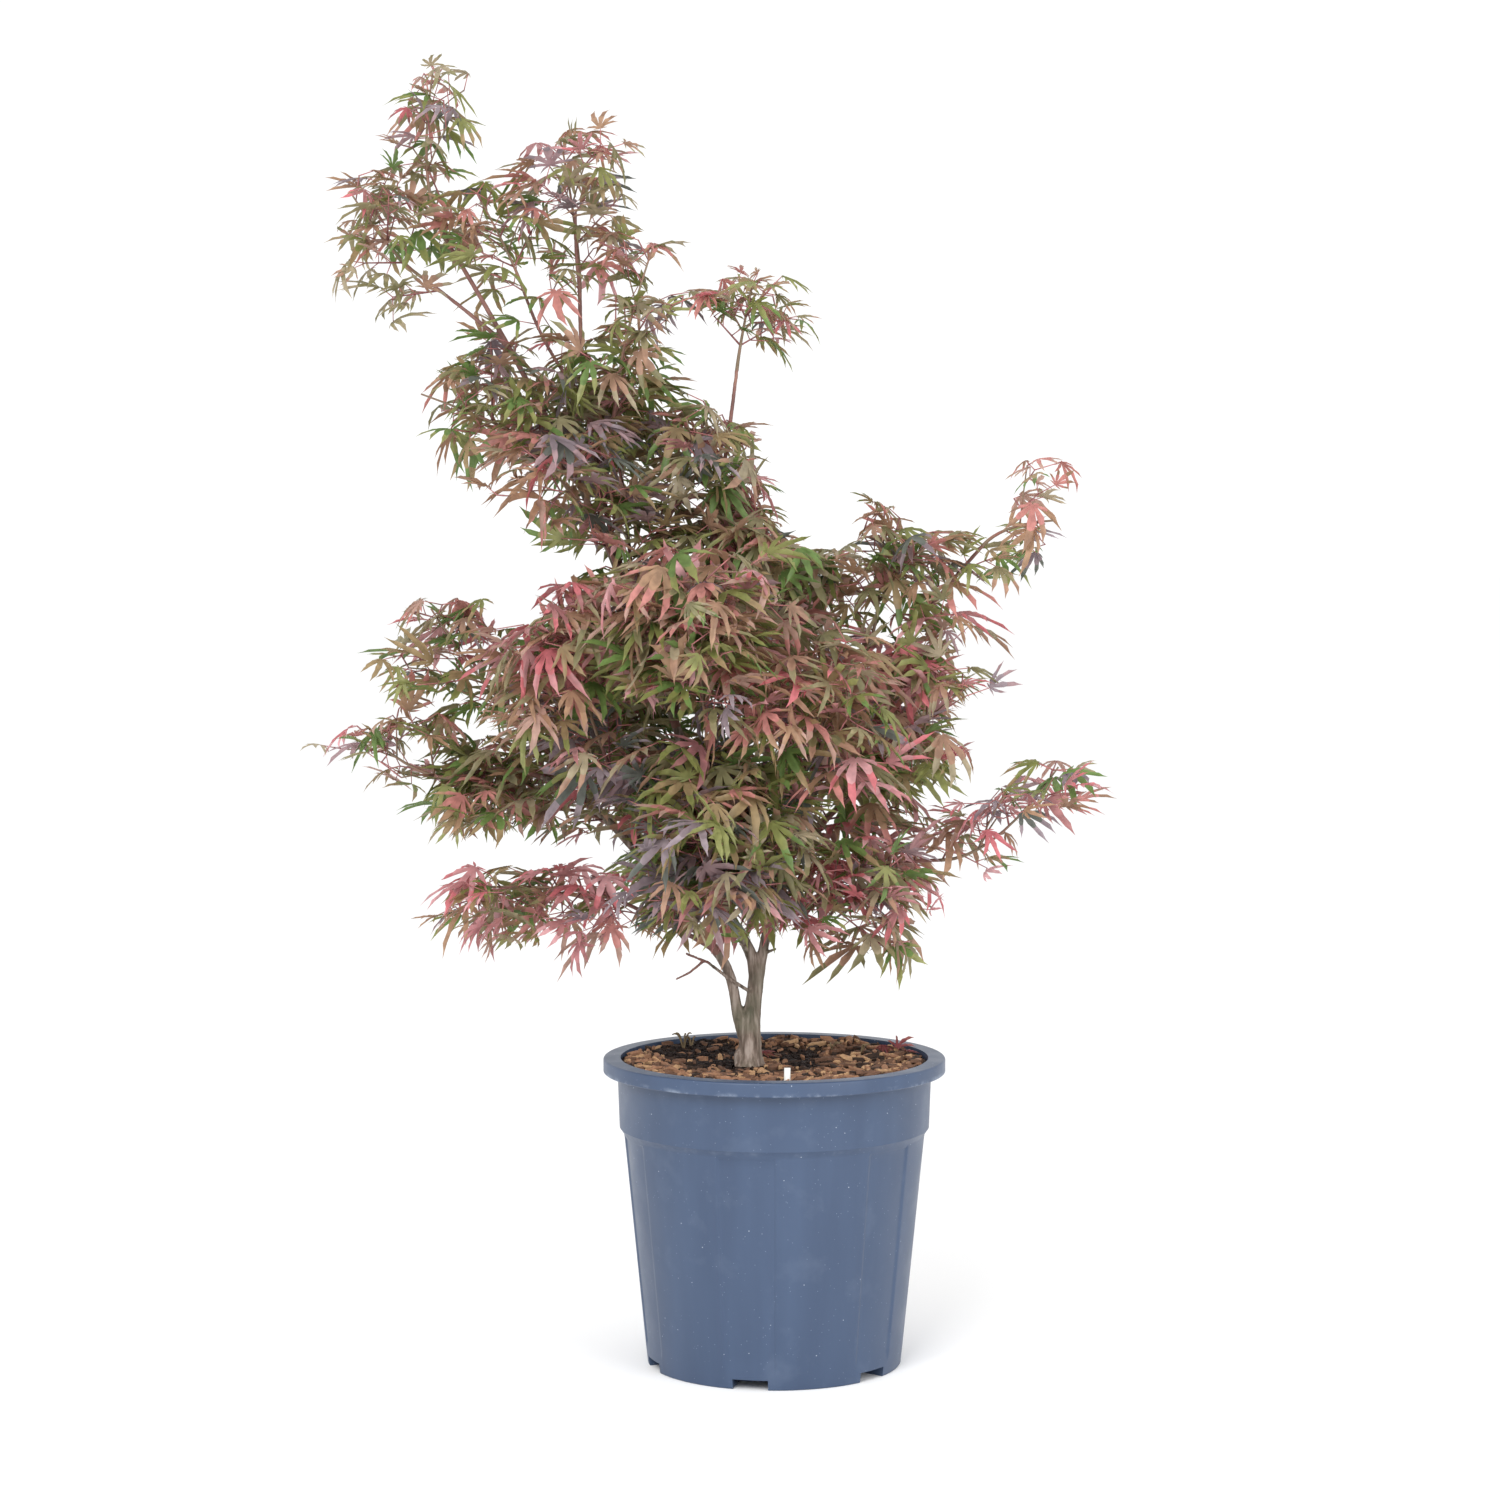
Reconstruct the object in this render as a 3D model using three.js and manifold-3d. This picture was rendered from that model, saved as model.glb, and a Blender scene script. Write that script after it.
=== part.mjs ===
// A Japanese maple about 1.28 m tall, growing in a 20 litre nursery container.
//
// Millimetres, +Z up. The origin is the middle of the container's underside, which stands on
// the ground. -Y is the front of the plant and -X its left.
//
// The container is a thin moulded pot with a turned-down lip, a collar, a tapering wall with
// six shallow flutes, and a floor with six raised drain channels that show as notches in the
// foot. The growing medium fills it. The trunk stands on the medium and divides low down into
// three limbs. Every bough leaves its parent at a share of the parent's length and runs to its
// own tip, where one mass of foliage takes over: a stem, twigs in opposite pairs, and leaves
// with five lobes, all kept inside the mass's own space.

import * as THREE from "three";
import { mergeVertices } from "three/addons/utils/BufferGeometryUtils.js";
import Module from "manifold-3d";

const wasm = await Module();
wasm.setup();

// ---------------------------------------------------------------- driving dimensions

const GAP = 0.35; // between pieces that touch on the real plant
const POT_HEIGHT = 306;
const RIM_RADIUS = 170;
const LIP_DROP = 14;
const LIP_WALL = 3;
const LIP_ROUNDING = 2;
const COLLAR_TOP_RADIUS = 156.5;
const COLLAR_FOOT_RADIUS = 154;
const COLLAR_FOOT = 237; // height of the collar's lower edge
const WALL_TOP = 230; // height where the tapering wall begins
const WALL_TOP_RADIUS = 149.5;
const FOOT_RADIUS = 126.5;
const WALL = 2; // behind the flutes
const FLOOR = 3.5;
const POT_SIDES = 36;
const FLUTES = 6;
const FLUTE_TURN = -11; // degrees from the front to the first flute
const FLUTE_WIDTH = 22; // degrees
const FLUTE_DEPTH = 1.5;
const FLUTE_FOOT = 16;
const CHANNEL_WIDTH = 35;
const CHANNEL_HEIGHT = 10;
const CHANNEL_INNER_END = 60; // distance from the pot's axis
const DRAIN_RADIUS = 5.5;
const DRAIN_DISTANCE = 98;
const GROUND = 296; // the medium's surface
const MULCH_CHIPS = 10;

const TRUNK_X = -24;
const TRUNK_BASE_RADIUS = 12;
const ROOT_FLARE = 4.5;
const FORK_HEIGHT = 54; // above the medium
const TRUNK_TAPER = 0.055; // radius lost for each millimetre up to the fork
const TRUNK_LEAN = 0.03;
const TRUNK_SIDES = 10;
const GRAFT_RADIUS = 8.5;
const LIMB_SIDES = 7; // of the three main limbs
const BOUGH_SIDES = 5;
const BOUGH_STEP = 80; // between the sections of a limb or bough

// The leaves stand for sprays: they are larger than life and fewer.
const LEAF_LOBE = 60; // the middle lobe of a full-size leaf
const LEAF_NOTCH = 0.42; // how far out the notches between lobes lie, as a share of the lobe
const LEAF_LOBES = [
  // the turn in degrees and the length of each lobe, as a share of the middle one's
  [-104, 0.6],
  [-52, 0.9],
  [0, 1],
  [52, 0.9],
  [104, 0.6],
];
const LEAF_THICK = 1.5;
const LEAF_STALK = 14;
const STALK_WIDTH = 6; // where it meets the blade
const LEAF_DROOP = 0.5; // how far the lobes' tips hang, as a share of their length
const LEAF_HANG = 0.55; // how far a leaf falls over, as a share of its direction
// Where there is little room a leaf is tried at these shares of its size and turned so far.
const LEAF_TRIES = [
  [1, 0],
  [1, 28],
  [1, -28],
  [0.84, 0],
  [0.84, 40],
  [0.84, -40],
  [0.7, 0],
  [0.7, 50],
  [0.7, -50],
];
const END_TURNS = [0, 75, -75]; // of the leaves at a twig's end
const SIDE_TURNS = [90, -90]; // of the leaves half-way along
const ROOT_SINK = 1.5; // how far back the first stalk's root lies in its twig
const ROOT_STEP = 5; // from one root to the next
const SPREAD = 1.08; // of the spaces, which share their overlaps
const STEM_LIFT = 0.5; // how far a stem rises past the middle of its space
const NODE_SPACING = 44; // between pairs of twigs along a stem
const PAIR_OFFSET = 2.5; // of each twig of a pair along the stem
const TWIG_LEAN = 0.45; // how far twigs lean along their stem, as a share of their direction
const TWIG_LIFT = 0.45; // and how far they rise
const STEM_SIDES = 5;
const TWIG_SIDES = 3;
const TWIG_RADIUS = 2.2; // to the corners of its three sides
const TWIG_TIP_RADIUS = 1.7;
const LONGEST_TWIG = 90;
const SHORTEST_TWIG = 8;
const CELL_MARGIN = 0.02; // share of a space kept free on its border with the next one
const LIMB_CLEARANCE = 1.2;

const COLOURS = {
  pot: 0x58677f,
  medium: 0x4a3426,
  bark: 0x7a6a58,
  green: 0x4d6a34,
  olive: 0x77703f,
  bronze: 0x8a6750,
  pink: 0xc47a72,
  purple: 0x6d5f6a,
};

// Boughs: name, parent, the share of the parent's length where it springs, its tip, the bow of
// its middle away from the straight line, and its radii at the base and the tip.
const LIMB_FEET = { left: [-27, -1, 320], centre: [-24, 0, 318], right: [-20, 1, 318] };
const BOUGHS = [
  ["left_limb", "left", 0.085, [-306, 0, 586], [0, -6, 180], 5.6, 2.2],
  ["centre_limb", "centre", 0.15, [-322, 0, 1112], [95, 8, 0], 6.2, 2.1],
  ["right_limb", "right", 0.215, [206, 0, 814], [-110, 10, 0], 5.8, 1.9],
  ["leader_b", "centre_limb", 0.49, [-192, 15, 1065], [-35, 6, 0], 3.4, 2.1],
  ["leader_c", "leader_b", 0.5, [-153, -15, 972], [6, 0, 0], 2.3, 1.8],
  ["leader_d", "centre_limb", 0.41, [-37, 0, 987], [10, 0, -12], 2.9, 1.9],
  ["left_shoulder_bough", "centre_limb", 0.87, [-349, 10, 1078], [-6, 0, 8], 2.2, 1.7],
  ["between_bough", "leader_b", 0.7, [-246, 0, 1062], [-8, 0, -14], 2.1, 1.7],
  ["upper_left_bough", "centre_limb", 0.7, [-252, -12, 922], [0, 0, 8], 2.4, 1.8],
  ["upper_front_bough", "centre_limb", 0.53, [-178, -44, 838], [8, -10, 0], 2.6, 1.8],
  ["upper_right_bough", "leader_b", 0.2, [-98, 0, 850], [6, 0, 10], 2.4, 1.8],
  ["upper_back_bough", "leader_b", 0.12, [-150, 62, 862], [0, 10, 0], 2.6, 1.8],
  ["core_bough", "centre_limb", 0.33, [-30, 0, 704], [12, 0, 0], 2.6, 1.8],
  ["front_centre_bough", "centre_limb", 0.2, [-66, -140, 640], [0, -24, -12], 3.2, 1.8],
  ["back_centre_bough", "centre_limb", 0.26, [-30, 128, 632], [0, 22, -12], 3.2, 1.8],
  ["front_low_bough", "centre_limb", 0.17, [-42, -72, 462], [0, -6, 8], 2.4, 1.7],
  ["back_low_bough", "centre_limb", 0.175, [-60, 98, 472], [0, 10, 10], 2.6, 1.8],
  ["left_bottom_bough", "left_limb", 0.16, [-168, -36, 470], [-4, -4, 16], 2.6, 1.8],
  ["left_low_bough", "left_limb", 0.47, [-212, 30, 550], [0, 4, 8], 2.4, 1.8],
  ["left_mid_bough", "left_limb", 0.62, [-262, -15, 654], [0, 0, 14], 2.6, 1.8],
  ["left_front_bough", "left_limb", 0.33, [-168, -86, 622], [0, -14, 0], 2.9, 1.8],
  ["back_left_bough", "left_limb", 0.27, [-156, 98, 588], [0, 16, 0], 2.9, 1.8],
  ["right_inner_bough", "right_limb", 0.6, [98, 14, 728], [6, 0, 6], 2.6, 1.8],
  ["right_mid_bough", "right_limb", 0.36, [128, -10, 604], [0, 0, 18], 2.8, 1.8],
  ["right_low_bough", "right_limb", 0.29, [166, 0, 502], [0, 0, 18], 2.9, 1.8],
  ["right_bottom_bough", "right_limb", 0.245, [38, -46, 462], [0, -6, 12], 2.5, 1.8],
  ["front_right_bough", "right_limb", 0.32, [26, -98, 580], [0, -18, -8], 2.8, 1.8],
  ["back_right_bough", "right_limb", 0.31, [68, 92, 552], [0, 18, 0], 2.8, 1.8],
];

// Foliage: name, bough, the middle and the half-sizes of the mass's space, the size of its
// leaves as a share of a full-size leaf, and its tint.
const MASSES = [
  ["crown_top", "centre_limb", [-330, 0, 1210], [60, 62, 84], 0.74, "olive"],
  ["left_shoulder", "left_shoulder_bough", [-388, 8, 1114], [58, 66, 78], 0.76, "olive"],
  ["between_leaders", "between_bough", [-272, -8, 1108], [58, 70, 62], 0.78, "bronze"],
  ["upper_left", "upper_left_bough", [-300, -8, 930], [82, 78, 74], 0.95, "olive"],
  ["leader_tip", "leader_b", [-205, 8, 1165], [90, 78, 56], 0.82, "bronze"],
  ["leader_side", "leader_c", [-132, -18, 1040], [84, 80, 84], 0.9, "bronze"],
  ["small_tip", "leader_d", [-27, 0, 1032], [55, 56, 53], 0.62, "olive"],
  ["upper_front", "upper_front_bough", [-195, -66, 850], [112, 84, 84], 1.15, "purple"],
  ["upper_right", "upper_right_bough", [-76, -4, 884], [80, 88, 84], 1, "bronze"],
  ["upper_back", "upper_back_bough", [-165, 96, 890], [112, 88, 96], 1.15, "green"],
  ["core", "core_bough", [-20, 0, 770], [104, 100, 96], 1.15, "bronze"],
  ["right_tip", "right_limb", [242, 0, 812], [82, 84, 96], 0.85, "olive"],
  ["right_inner", "right_inner_bough", [104, 16, 780], [84, 90, 84], 1, "bronze"],
  ["right_mid", "right_mid_bough", [140, -6, 652], [88, 92, 80], 1.05, "pink"],
  ["right_low", "right_low_bough", [243, 0, 549], [92, 86, 74], 0.9, "pink"],
  ["right_bottom", "right_bottom_bough", [82, -60, 456], [92, 86, 76], 1.05, "pink"],
  ["left_mid", "left_mid_bough", [-312, -14, 706], [96, 84, 72], 1, "olive"],
  ["left_tip", "left_limb", [-382, 0, 610], [86, 74, 54], 0.88, "olive"],
  ["left_low", "left_low_bough", [-268, 34, 552], [104, 90, 54], 0.9, "green"],
  ["left_bottom", "left_bottom_bough", [-268, -36, 452], [106, 76, 56], 0.92, "pink"],
  ["left_front", "left_front_bough", [-190, -128, 690], [108, 96, 104], 1.25, "pink"],
  ["front_centre", "front_centre_bough", [-74, -186, 712], [102, 96, 108], 1.25, "bronze"],
  ["front_right", "front_right_bough", [42, -146, 640], [100, 94, 104], 1.2, "bronze"],
  ["front_low", "front_low_bough", [-62, -136, 520], [118, 96, 104], 1.25, "purple"],
  ["back_left", "back_left_bough", [-178, 150, 650], [116, 100, 108], 1.25, "green"],
  ["back_centre", "back_centre_bough", [-30, 188, 712], [112, 100, 116], 1.25, "olive"],
  ["back_right", "back_right_bough", [98, 146, 600], [110, 100, 104], 1.25, "olive"],
  ["back_low", "back_low_bough", [-82, 168, 508], [116, 100, 100], 1.25, "green"],
];

// ---------------------------------------------------------------- small tools

const vec = (x, y, z) => new THREE.Vector3(x, y, z);
const toVec = (a) => new THREE.Vector3(...a);
const UP = vec(0, 0, 1);
const rad = THREE.MathUtils.degToRad;

// A seeded source of numbers from 0 to 1.
function seeded(seed) {
  let state = seed >>> 0;
  return () => {
    state = (state + 0x6d2b79f5) >>> 0;
    let t = Math.imul(state ^ (state >>> 15), state | 1);
    t ^= t + Math.imul(t ^ (t >>> 7), t | 61);
    return ((t ^ (t >>> 14)) >>> 0) / 4294967296;
  };
}

// A closed geometry as a solid that can be joined and cut.
function solidOf(geometry) {
  const bare = geometry.clone();
  bare.deleteAttribute("normal");
  bare.deleteAttribute("uv");
  const merged = mergeVertices(bare, 1e-4);
  return new wasm.Manifold(
    new wasm.Mesh({
      numProp: 3,
      vertProperties: new Float32Array(merged.attributes.position.array),
      triVerts: new Uint32Array(merged.index.array),
    }),
  );
}

// The largest body of a solid as a geometry, with any sealed hollow filled.
function geometryOf(solid) {
  const bodies = solid.decompose().filter((body) => body.volume() > 0);
  bodies.sort((a, b) => b.volume() - a.volume());
  const mesh = bodies[0].getMesh();
  const geometry = new THREE.BufferGeometry();
  geometry.setAttribute("position", new THREE.BufferAttribute(mesh.vertProperties, 3));
  geometry.setIndex(new THREE.BufferAttribute(mesh.triVerts, 1));
  return geometry;
}

const joined = (solids) => solids.reduce((all, next) => all.add(next));

function material(colour, roughness) {
  return new THREE.MeshStandardMaterial({ color: COLOURS[colour], roughness, metalness: 0 });
}

// A named mesh whose own origin is at the given point.
function namedMesh(name, solid, look, at) {
  const geometry = geometryOf(solid).translate(-at.x, -at.y, -at.z);
  const mesh = new THREE.Mesh(geometry, look);
  mesh.name = name;
  mesh.position.copy(at);
  return mesh;
}

// ---------------------------------------------------------------- tapering tubes

// Sections of a tube along points, each with a frame that turns as little as it can. Their
// directions come from the line that the points lie on, or from the points themselves.
function sections(points, directions) {
  let across = null;
  return points.map((point, i) => {
    const ahead = points[Math.min(i + 1, points.length - 1)];
    const behind = points[Math.max(i - 1, 0)];
    const along = directions ? directions[i] : ahead.clone().sub(behind).normalize();
    if (!across) across = vec(1, 0, 0).cross(along).lengthSq() > 0.1 ? vec(1, 0, 0) : vec(0, 1, 0);
    across = across.clone().addScaledVector(along, -across.dot(along)).normalize();
    return { point, across, beside: along.clone().cross(across) };
  });
}

// A closed tube with flat ends. radiusAt(share, angle) is its radius along and around it.
function tube(points, radiusAt, sides, directions) {
  const positions = [];
  const faces = [];
  const last = points.length - 1;
  sections(points, directions).forEach(({ point, across, beside }, i) => {
    for (let k = 0; k < sides; k++) {
      const angle = (2 * Math.PI * k) / sides;
      const radius = radiusAt(i / last, angle);
      const corner = point
        .clone()
        .addScaledVector(across, radius * Math.cos(angle))
        .addScaledVector(beside, radius * Math.sin(angle));
      positions.push(corner.x, corner.y, corner.z);
    }
  });
  for (let i = 0; i < last; i++) {
    for (let k = 0; k < sides; k++) {
      const a = i * sides + k;
      const b = i * sides + ((k + 1) % sides);
      faces.push(a, b, b + sides, a, b + sides, a + sides);
    }
  }
  for (let k = 1; k < sides - 1; k++) {
    faces.push(0, k + 1, k);
    faces.push(last * sides, last * sides + k, last * sides + k + 1);
  }
  const geometry = new THREE.BufferGeometry();
  geometry.setAttribute("position", new THREE.Float32BufferAttribute(positions, 3));
  geometry.setIndex(faces);
  return solidOf(geometry);
}

const tapered = (from, to) => (share) => from + (to - from) * share;

// ---------------------------------------------------------------- the container

// Lowers a radius into the flutes of the tapering wall.
function fluted(radius, z, angle) {
  if (z < FLUTE_FOOT || z > WALL_TOP) return radius;
  const pitch = 360 / FLUTES;
  const front = THREE.MathUtils.radToDeg(angle) - FLUTE_TURN;
  const off = Math.abs(THREE.MathUtils.euclideanModulo(front + pitch / 2, pitch) - pitch / 2);
  return off < FLUTE_WIDTH / 2 ? radius - FLUTE_DEPTH : radius;
}

// A turned form about Z from [radius, z] pairs, closed on the axis, with flutes in its wall.
// Its angle is measured from the front, -Y.
function turned(profile) {
  const shape = profile.map(([r, z]) => new THREE.Vector2(r, z));
  const geometry = new THREE.LatheGeometry(shape, POT_SIDES).rotateX(Math.PI / 2);
  const position = geometry.attributes.position;
  const step = (2 * Math.PI) / POT_SIDES;
  for (let i = 0; i < position.count; i++) {
    const [x, y, z] = [position.getX(i), position.getY(i), position.getZ(i)];
    const radius = Math.hypot(x, y);
    if (radius < 1e-6) {
      position.setXYZ(i, 0, 0, z);
      continue;
    }
    // Shared corners must stay shared, so each angle is rounded to its own side first.
    const side = Math.round(Math.atan2(x, -y) / step);
    const angle = side * step + rad(FLUTE_TURN);
    const moved = fluted(radius, z, angle);
    position.setXYZ(i, moved * Math.sin(angle), -moved * Math.cos(angle), z);
  }
  const solid = solidOf(geometry);
  if (solid.volume() > 0) return solid;
  const index = geometry.index.array;
  for (let i = 0; i < index.length; i += 3) [index[i], index[i + 1]] = [index[i + 1], index[i]];
  return solidOf(geometry);
}

const { mapLinear } = THREE.MathUtils;
const wallRadius = (z) => mapLinear(z, 0, WALL_TOP, FOOT_RADIUS, WALL_TOP_RADIUS);
const collarRadius = (z) =>
  mapLinear(z, COLLAR_FOOT, POT_HEIGHT, COLLAR_FOOT_RADIUS, COLLAR_TOP_RADIUS);

// The inside of the pot, made smaller by an inset, from the floor up to a height. It is smooth,
// so the wall is thinner behind the flutes.
function hollow(inset, top) {
  const floor = FLOOR + inset;
  const side = WALL + FLUTE_DEPTH + inset;
  return [
    [0, floor],
    [wallRadius(floor) - side, floor],
    [WALL_TOP_RADIUS - side, WALL_TOP + 0.1],
    [COLLAR_FOOT_RADIUS - side, COLLAR_FOOT],
    [collarRadius(top) - side, top],
    [0, top],
  ];
}

// The blocks that raise the floor over the drain channels, larger all round by a margin.
function channels(margin) {
  const reach = FOOT_RADIUS + 20;
  const length = reach - CHANNEL_INNER_END + margin;
  const blocks = [];
  for (let k = 0; k < FLUTES; k++) {
    const block = new THREE.BoxGeometry(
      CHANNEL_WIDTH + 2 * margin,
      length,
      CHANNEL_HEIGHT + margin + 10,
    );
    block.translate(0, -(reach - length / 2), (CHANNEL_HEIGHT + margin - 10) / 2);
    block.rotateZ(rad(FLUTE_TURN + (k * 360) / FLUTES));
    blocks.push(solidOf(block));
  }
  return joined(blocks);
}

function drains() {
  const holes = [];
  for (let k = 0; k < FLUTES; k++) {
    const hole = new THREE.CylinderGeometry(DRAIN_RADIUS, DRAIN_RADIUS, 40, 8);
    hole.rotateX(Math.PI / 2).translate(0, -DRAIN_DISTANCE, 0);
    hole.rotateZ(rad(FLUTE_TURN + (k * 360) / FLUTES));
    holes.push(solidOf(hole));
  }
  return joined(holes);
}

function potSolid() {
  const lipFoot = POT_HEIGHT - LIP_DROP;
  const outside = turned([
    [0, 0],
    [FOOT_RADIUS, 0],
    [wallRadius(FLUTE_FOOT), FLUTE_FOOT - 1],
    [wallRadius(FLUTE_FOOT), FLUTE_FOOT],
    [WALL_TOP_RADIUS, WALL_TOP],
    [WALL_TOP_RADIUS, WALL_TOP + 0.1],
    [COLLAR_FOOT_RADIUS, COLLAR_FOOT],
    [collarRadius(POT_HEIGHT - LIP_WALL), POT_HEIGHT - LIP_WALL],
    [RIM_RADIUS - LIP_WALL, POT_HEIGHT - LIP_WALL],
    [RIM_RADIUS - LIP_WALL, lipFoot],
    [RIM_RADIUS, lipFoot],
    [RIM_RADIUS, POT_HEIGHT - LIP_ROUNDING],
    [RIM_RADIUS - LIP_ROUNDING, POT_HEIGHT],
    [0, POT_HEIGHT],
  ]);
  const inside = turned(hollow(0, POT_HEIGHT + 1)).subtract(channels(WALL));
  return outside.subtract(inside).subtract(channels(0)).subtract(drains());
}

// Coarse bark chips, bedded in the surface of the medium.
function chips() {
  const random = seeded(11);
  const made = [];
  for (let i = 0; i < MULCH_CHIPS; i++) {
    const angle = i * 2.4;
    const distance = 50 + 84 * Math.sqrt((i + 0.5) / MULCH_CHIPS);
    const chip = new THREE.BoxGeometry(16 + 14 * random(), 8 + 6 * random(), 7);
    chip.rotateX(0.35 * (random() - 0.5)).rotateY(0.3 * (random() - 0.5));
    chip.rotateZ(Math.PI * random());
    chip.translate(distance * Math.cos(angle), distance * Math.sin(angle), GROUND);
    made.push(solidOf(chip));
  }
  return joined(made);
}

function mediumSolid() {
  const body = turned(hollow(GAP, GROUND)).subtract(channels(WALL + GAP));
  return body.add(chips());
}

// ---------------------------------------------------------------- trunk and boughs

// A limb is a bowed, tapering line from its start to its tip. Parts of it can be made solid.
class Limb {
  constructor(name, start, tip, bow, baseRadius, tipRadius) {
    this.name = name;
    const middle = start.clone().lerp(tip, 0.5).add(bow);
    this.curve = new THREE.QuadraticBezierCurve3(start, middle, tip);
    this.baseRadius = baseRadius;
    this.tipRadius = tipRadius;
    this.length = this.curve.getLength();
  }

  radius(share) {
    return this.baseRadius + (this.tipRadius - this.baseRadius) * share;
  }

  // The limb from one share of its length to another, thicker by extra.
  solid(from, to, sides, steps, extra = 0) {
    const shares = Array.from({ length: steps + 1 }, (_, i) => from + ((to - from) * i) / steps);
    const points = shares.map((share) => this.curve.getPoint(share));
    const directions = shares.map((share) => this.curve.getTangent(share));
    const radiusAt = (s) => this.radius(from + (to - from) * s) + extra;
    return tube(points, radiusAt, sides, directions);
  }
}

const limbs = new Map();
for (const [name, parentName, at, tip, bow, base, end] of BOUGHS) {
  const foot = LIMB_FEET[parentName];
  const parent = limbs.get(parentName);
  const start = foot ? toVec(foot) : parent.curve.getPoint(at);
  const limb = new Limb(name, start, toVec(tip), toVec(bow), base, end);
  limb.parent = parent;
  limb.from = foot ? at : 0; // a main limb's first stretch belongs to the trunk
  limbs.set(name, limb);
}
const mainLimbs = [...limbs.values()].filter((limb) => !limb.parent);

// The root flare and the foot of the trunk, with shallow ribs round it.
function footSolid() {
  const heights = [0, 3, 9, 20, 38, FORK_HEIGHT];
  const points = heights.map((h) => vec(TRUNK_X - 1 + h * TRUNK_LEAN, 0, GROUND + h));
  const radiusAt = (share, angle) => {
    const height = heights[Math.round(share * (heights.length - 1))];
    const flare = ROOT_FLARE * Math.exp(-height / 7) * (1 + 0.25 * Math.cos(5 * angle));
    return TRUNK_BASE_RADIUS - height * TRUNK_TAPER + flare;
  };
  return tube(points, radiusAt, TRUNK_SIDES);
}

// The swelling where the top was once grafted on.
function graftSolid() {
  const swelling = new THREE.SphereGeometry(GRAFT_RADIUS, 7, 5);
  swelling.rotateX(Math.PI / 2).scale(1, 1, 1.35);
  swelling.translate(TRUNK_X - GRAFT_RADIUS, -2, GROUND + GRAFT_RADIUS);
  return solidOf(swelling);
}

// What is left of a twig that was cut off.
const stub = (from, to, radius) =>
  tube([toVec(from), toVec(to)], tapered(radius, radius * 0.6), 5);

// The first stretch of a main limb, which is part of the trunk.
const arm = (limb, extra = 0) => limb.solid(0, limb.from, LIMB_SIDES, 3, extra);

function trunkSolid() {
  const below = new THREE.BoxGeometry(120, 120, 40).translate(TRUNK_X, 0, GROUND + GAP - 20);
  const arms = mainLimbs.map((limb) => arm(limb));
  const stubs = [
    stub([TRUNK_X - 6, -3, GROUND + 44], [TRUNK_X - 13, -8, GROUND + 50], 2.6),
    stub([TRUNK_X + 12, 2, GROUND + 112], [TRUNK_X + 26, -3, GROUND + 117], 2),
    stub([TRUNK_X + 1, -2, GROUND + 108], [TRUNK_X - 9, -10, GROUND + 114], 1.8),
  ];
  return joined([footSolid(), graftSolid(), ...arms, ...stubs]).subtract(solidOf(below));
}

// A limb in full, without the stretch of a main limb that is part of the trunk.
function wholeLimb(limb, extra = 0) {
  const sides = limb.parent ? BOUGH_SIDES : LIMB_SIDES;
  const steps = THREE.MathUtils.clamp(Math.round(limb.length / BOUGH_STEP), 3, 8);
  const from = limb.parent ? 0 : limb.from + GAP / limb.length;
  return limb.solid(from, 1, sides, steps, extra);
}

// A bough starts at its parent's middle line and is cut back to just clear of the parent, and a
// main limb is cut clear of the trunk's other arms.
function boughSolid(limb) {
  const others = mainLimbs.filter((other) => other !== limb).map((other) => arm(other, GAP));
  const cut = limb.parent ? wholeLimb(limb.parent, GAP) : joined(others);
  return wholeLimb(limb).subtract(cut);
}

// ---------------------------------------------------------------- foliage

// A leaf of five lobes on its stalk. +X runs along the middle lobe, the upper side faces +Z,
// the lobes join at the origin and hang down round it, and the stalk's root is behind it.
function leafGeometry(size) {
  const outline = [[-STALK_WIDTH, -STALK_WIDTH / 2]];
  LEAF_LOBES.forEach(([turn, length], i) => {
    if (i > 0) {
      const [lastTurn, lastLength] = LEAF_LOBES[i - 1];
      const between = rad((turn + lastTurn) / 2);
      const notch = LEAF_NOTCH * size * Math.min(length, lastLength);
      outline.push([notch * Math.cos(between), notch * Math.sin(between)]);
    }
    outline.push([length * size * Math.cos(rad(turn)), length * size * Math.sin(rad(turn))]);
  });
  outline.push([-STALK_WIDTH, STALK_WIDTH / 2]);
  const hang = (x, y) => -LEAF_DROOP * size * (Math.hypot(x, y) / size) ** 1.3;
  const [over, under, root, first] = [0, 1, 2, 3];
  const last = first + outline.length - 1;
  const positions = [0, 0, LEAF_THICK / 2, 0, 0, -LEAF_THICK / 2, -LEAF_STALK, 0, 0];
  outline.forEach(([x, y]) => positions.push(x, y, hang(x, y)));
  const faces = [root, first, over, root, over, last, root, last, under, root, under, first];
  for (let i = first; i < last; i++) faces.push(over, i, i + 1, under, i + 1, i);
  const geometry = new THREE.BufferGeometry();
  geometry.setAttribute("position", new THREE.Float32BufferAttribute(positions, 3));
  geometry.setIndex(faces);
  return geometry;
}

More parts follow.
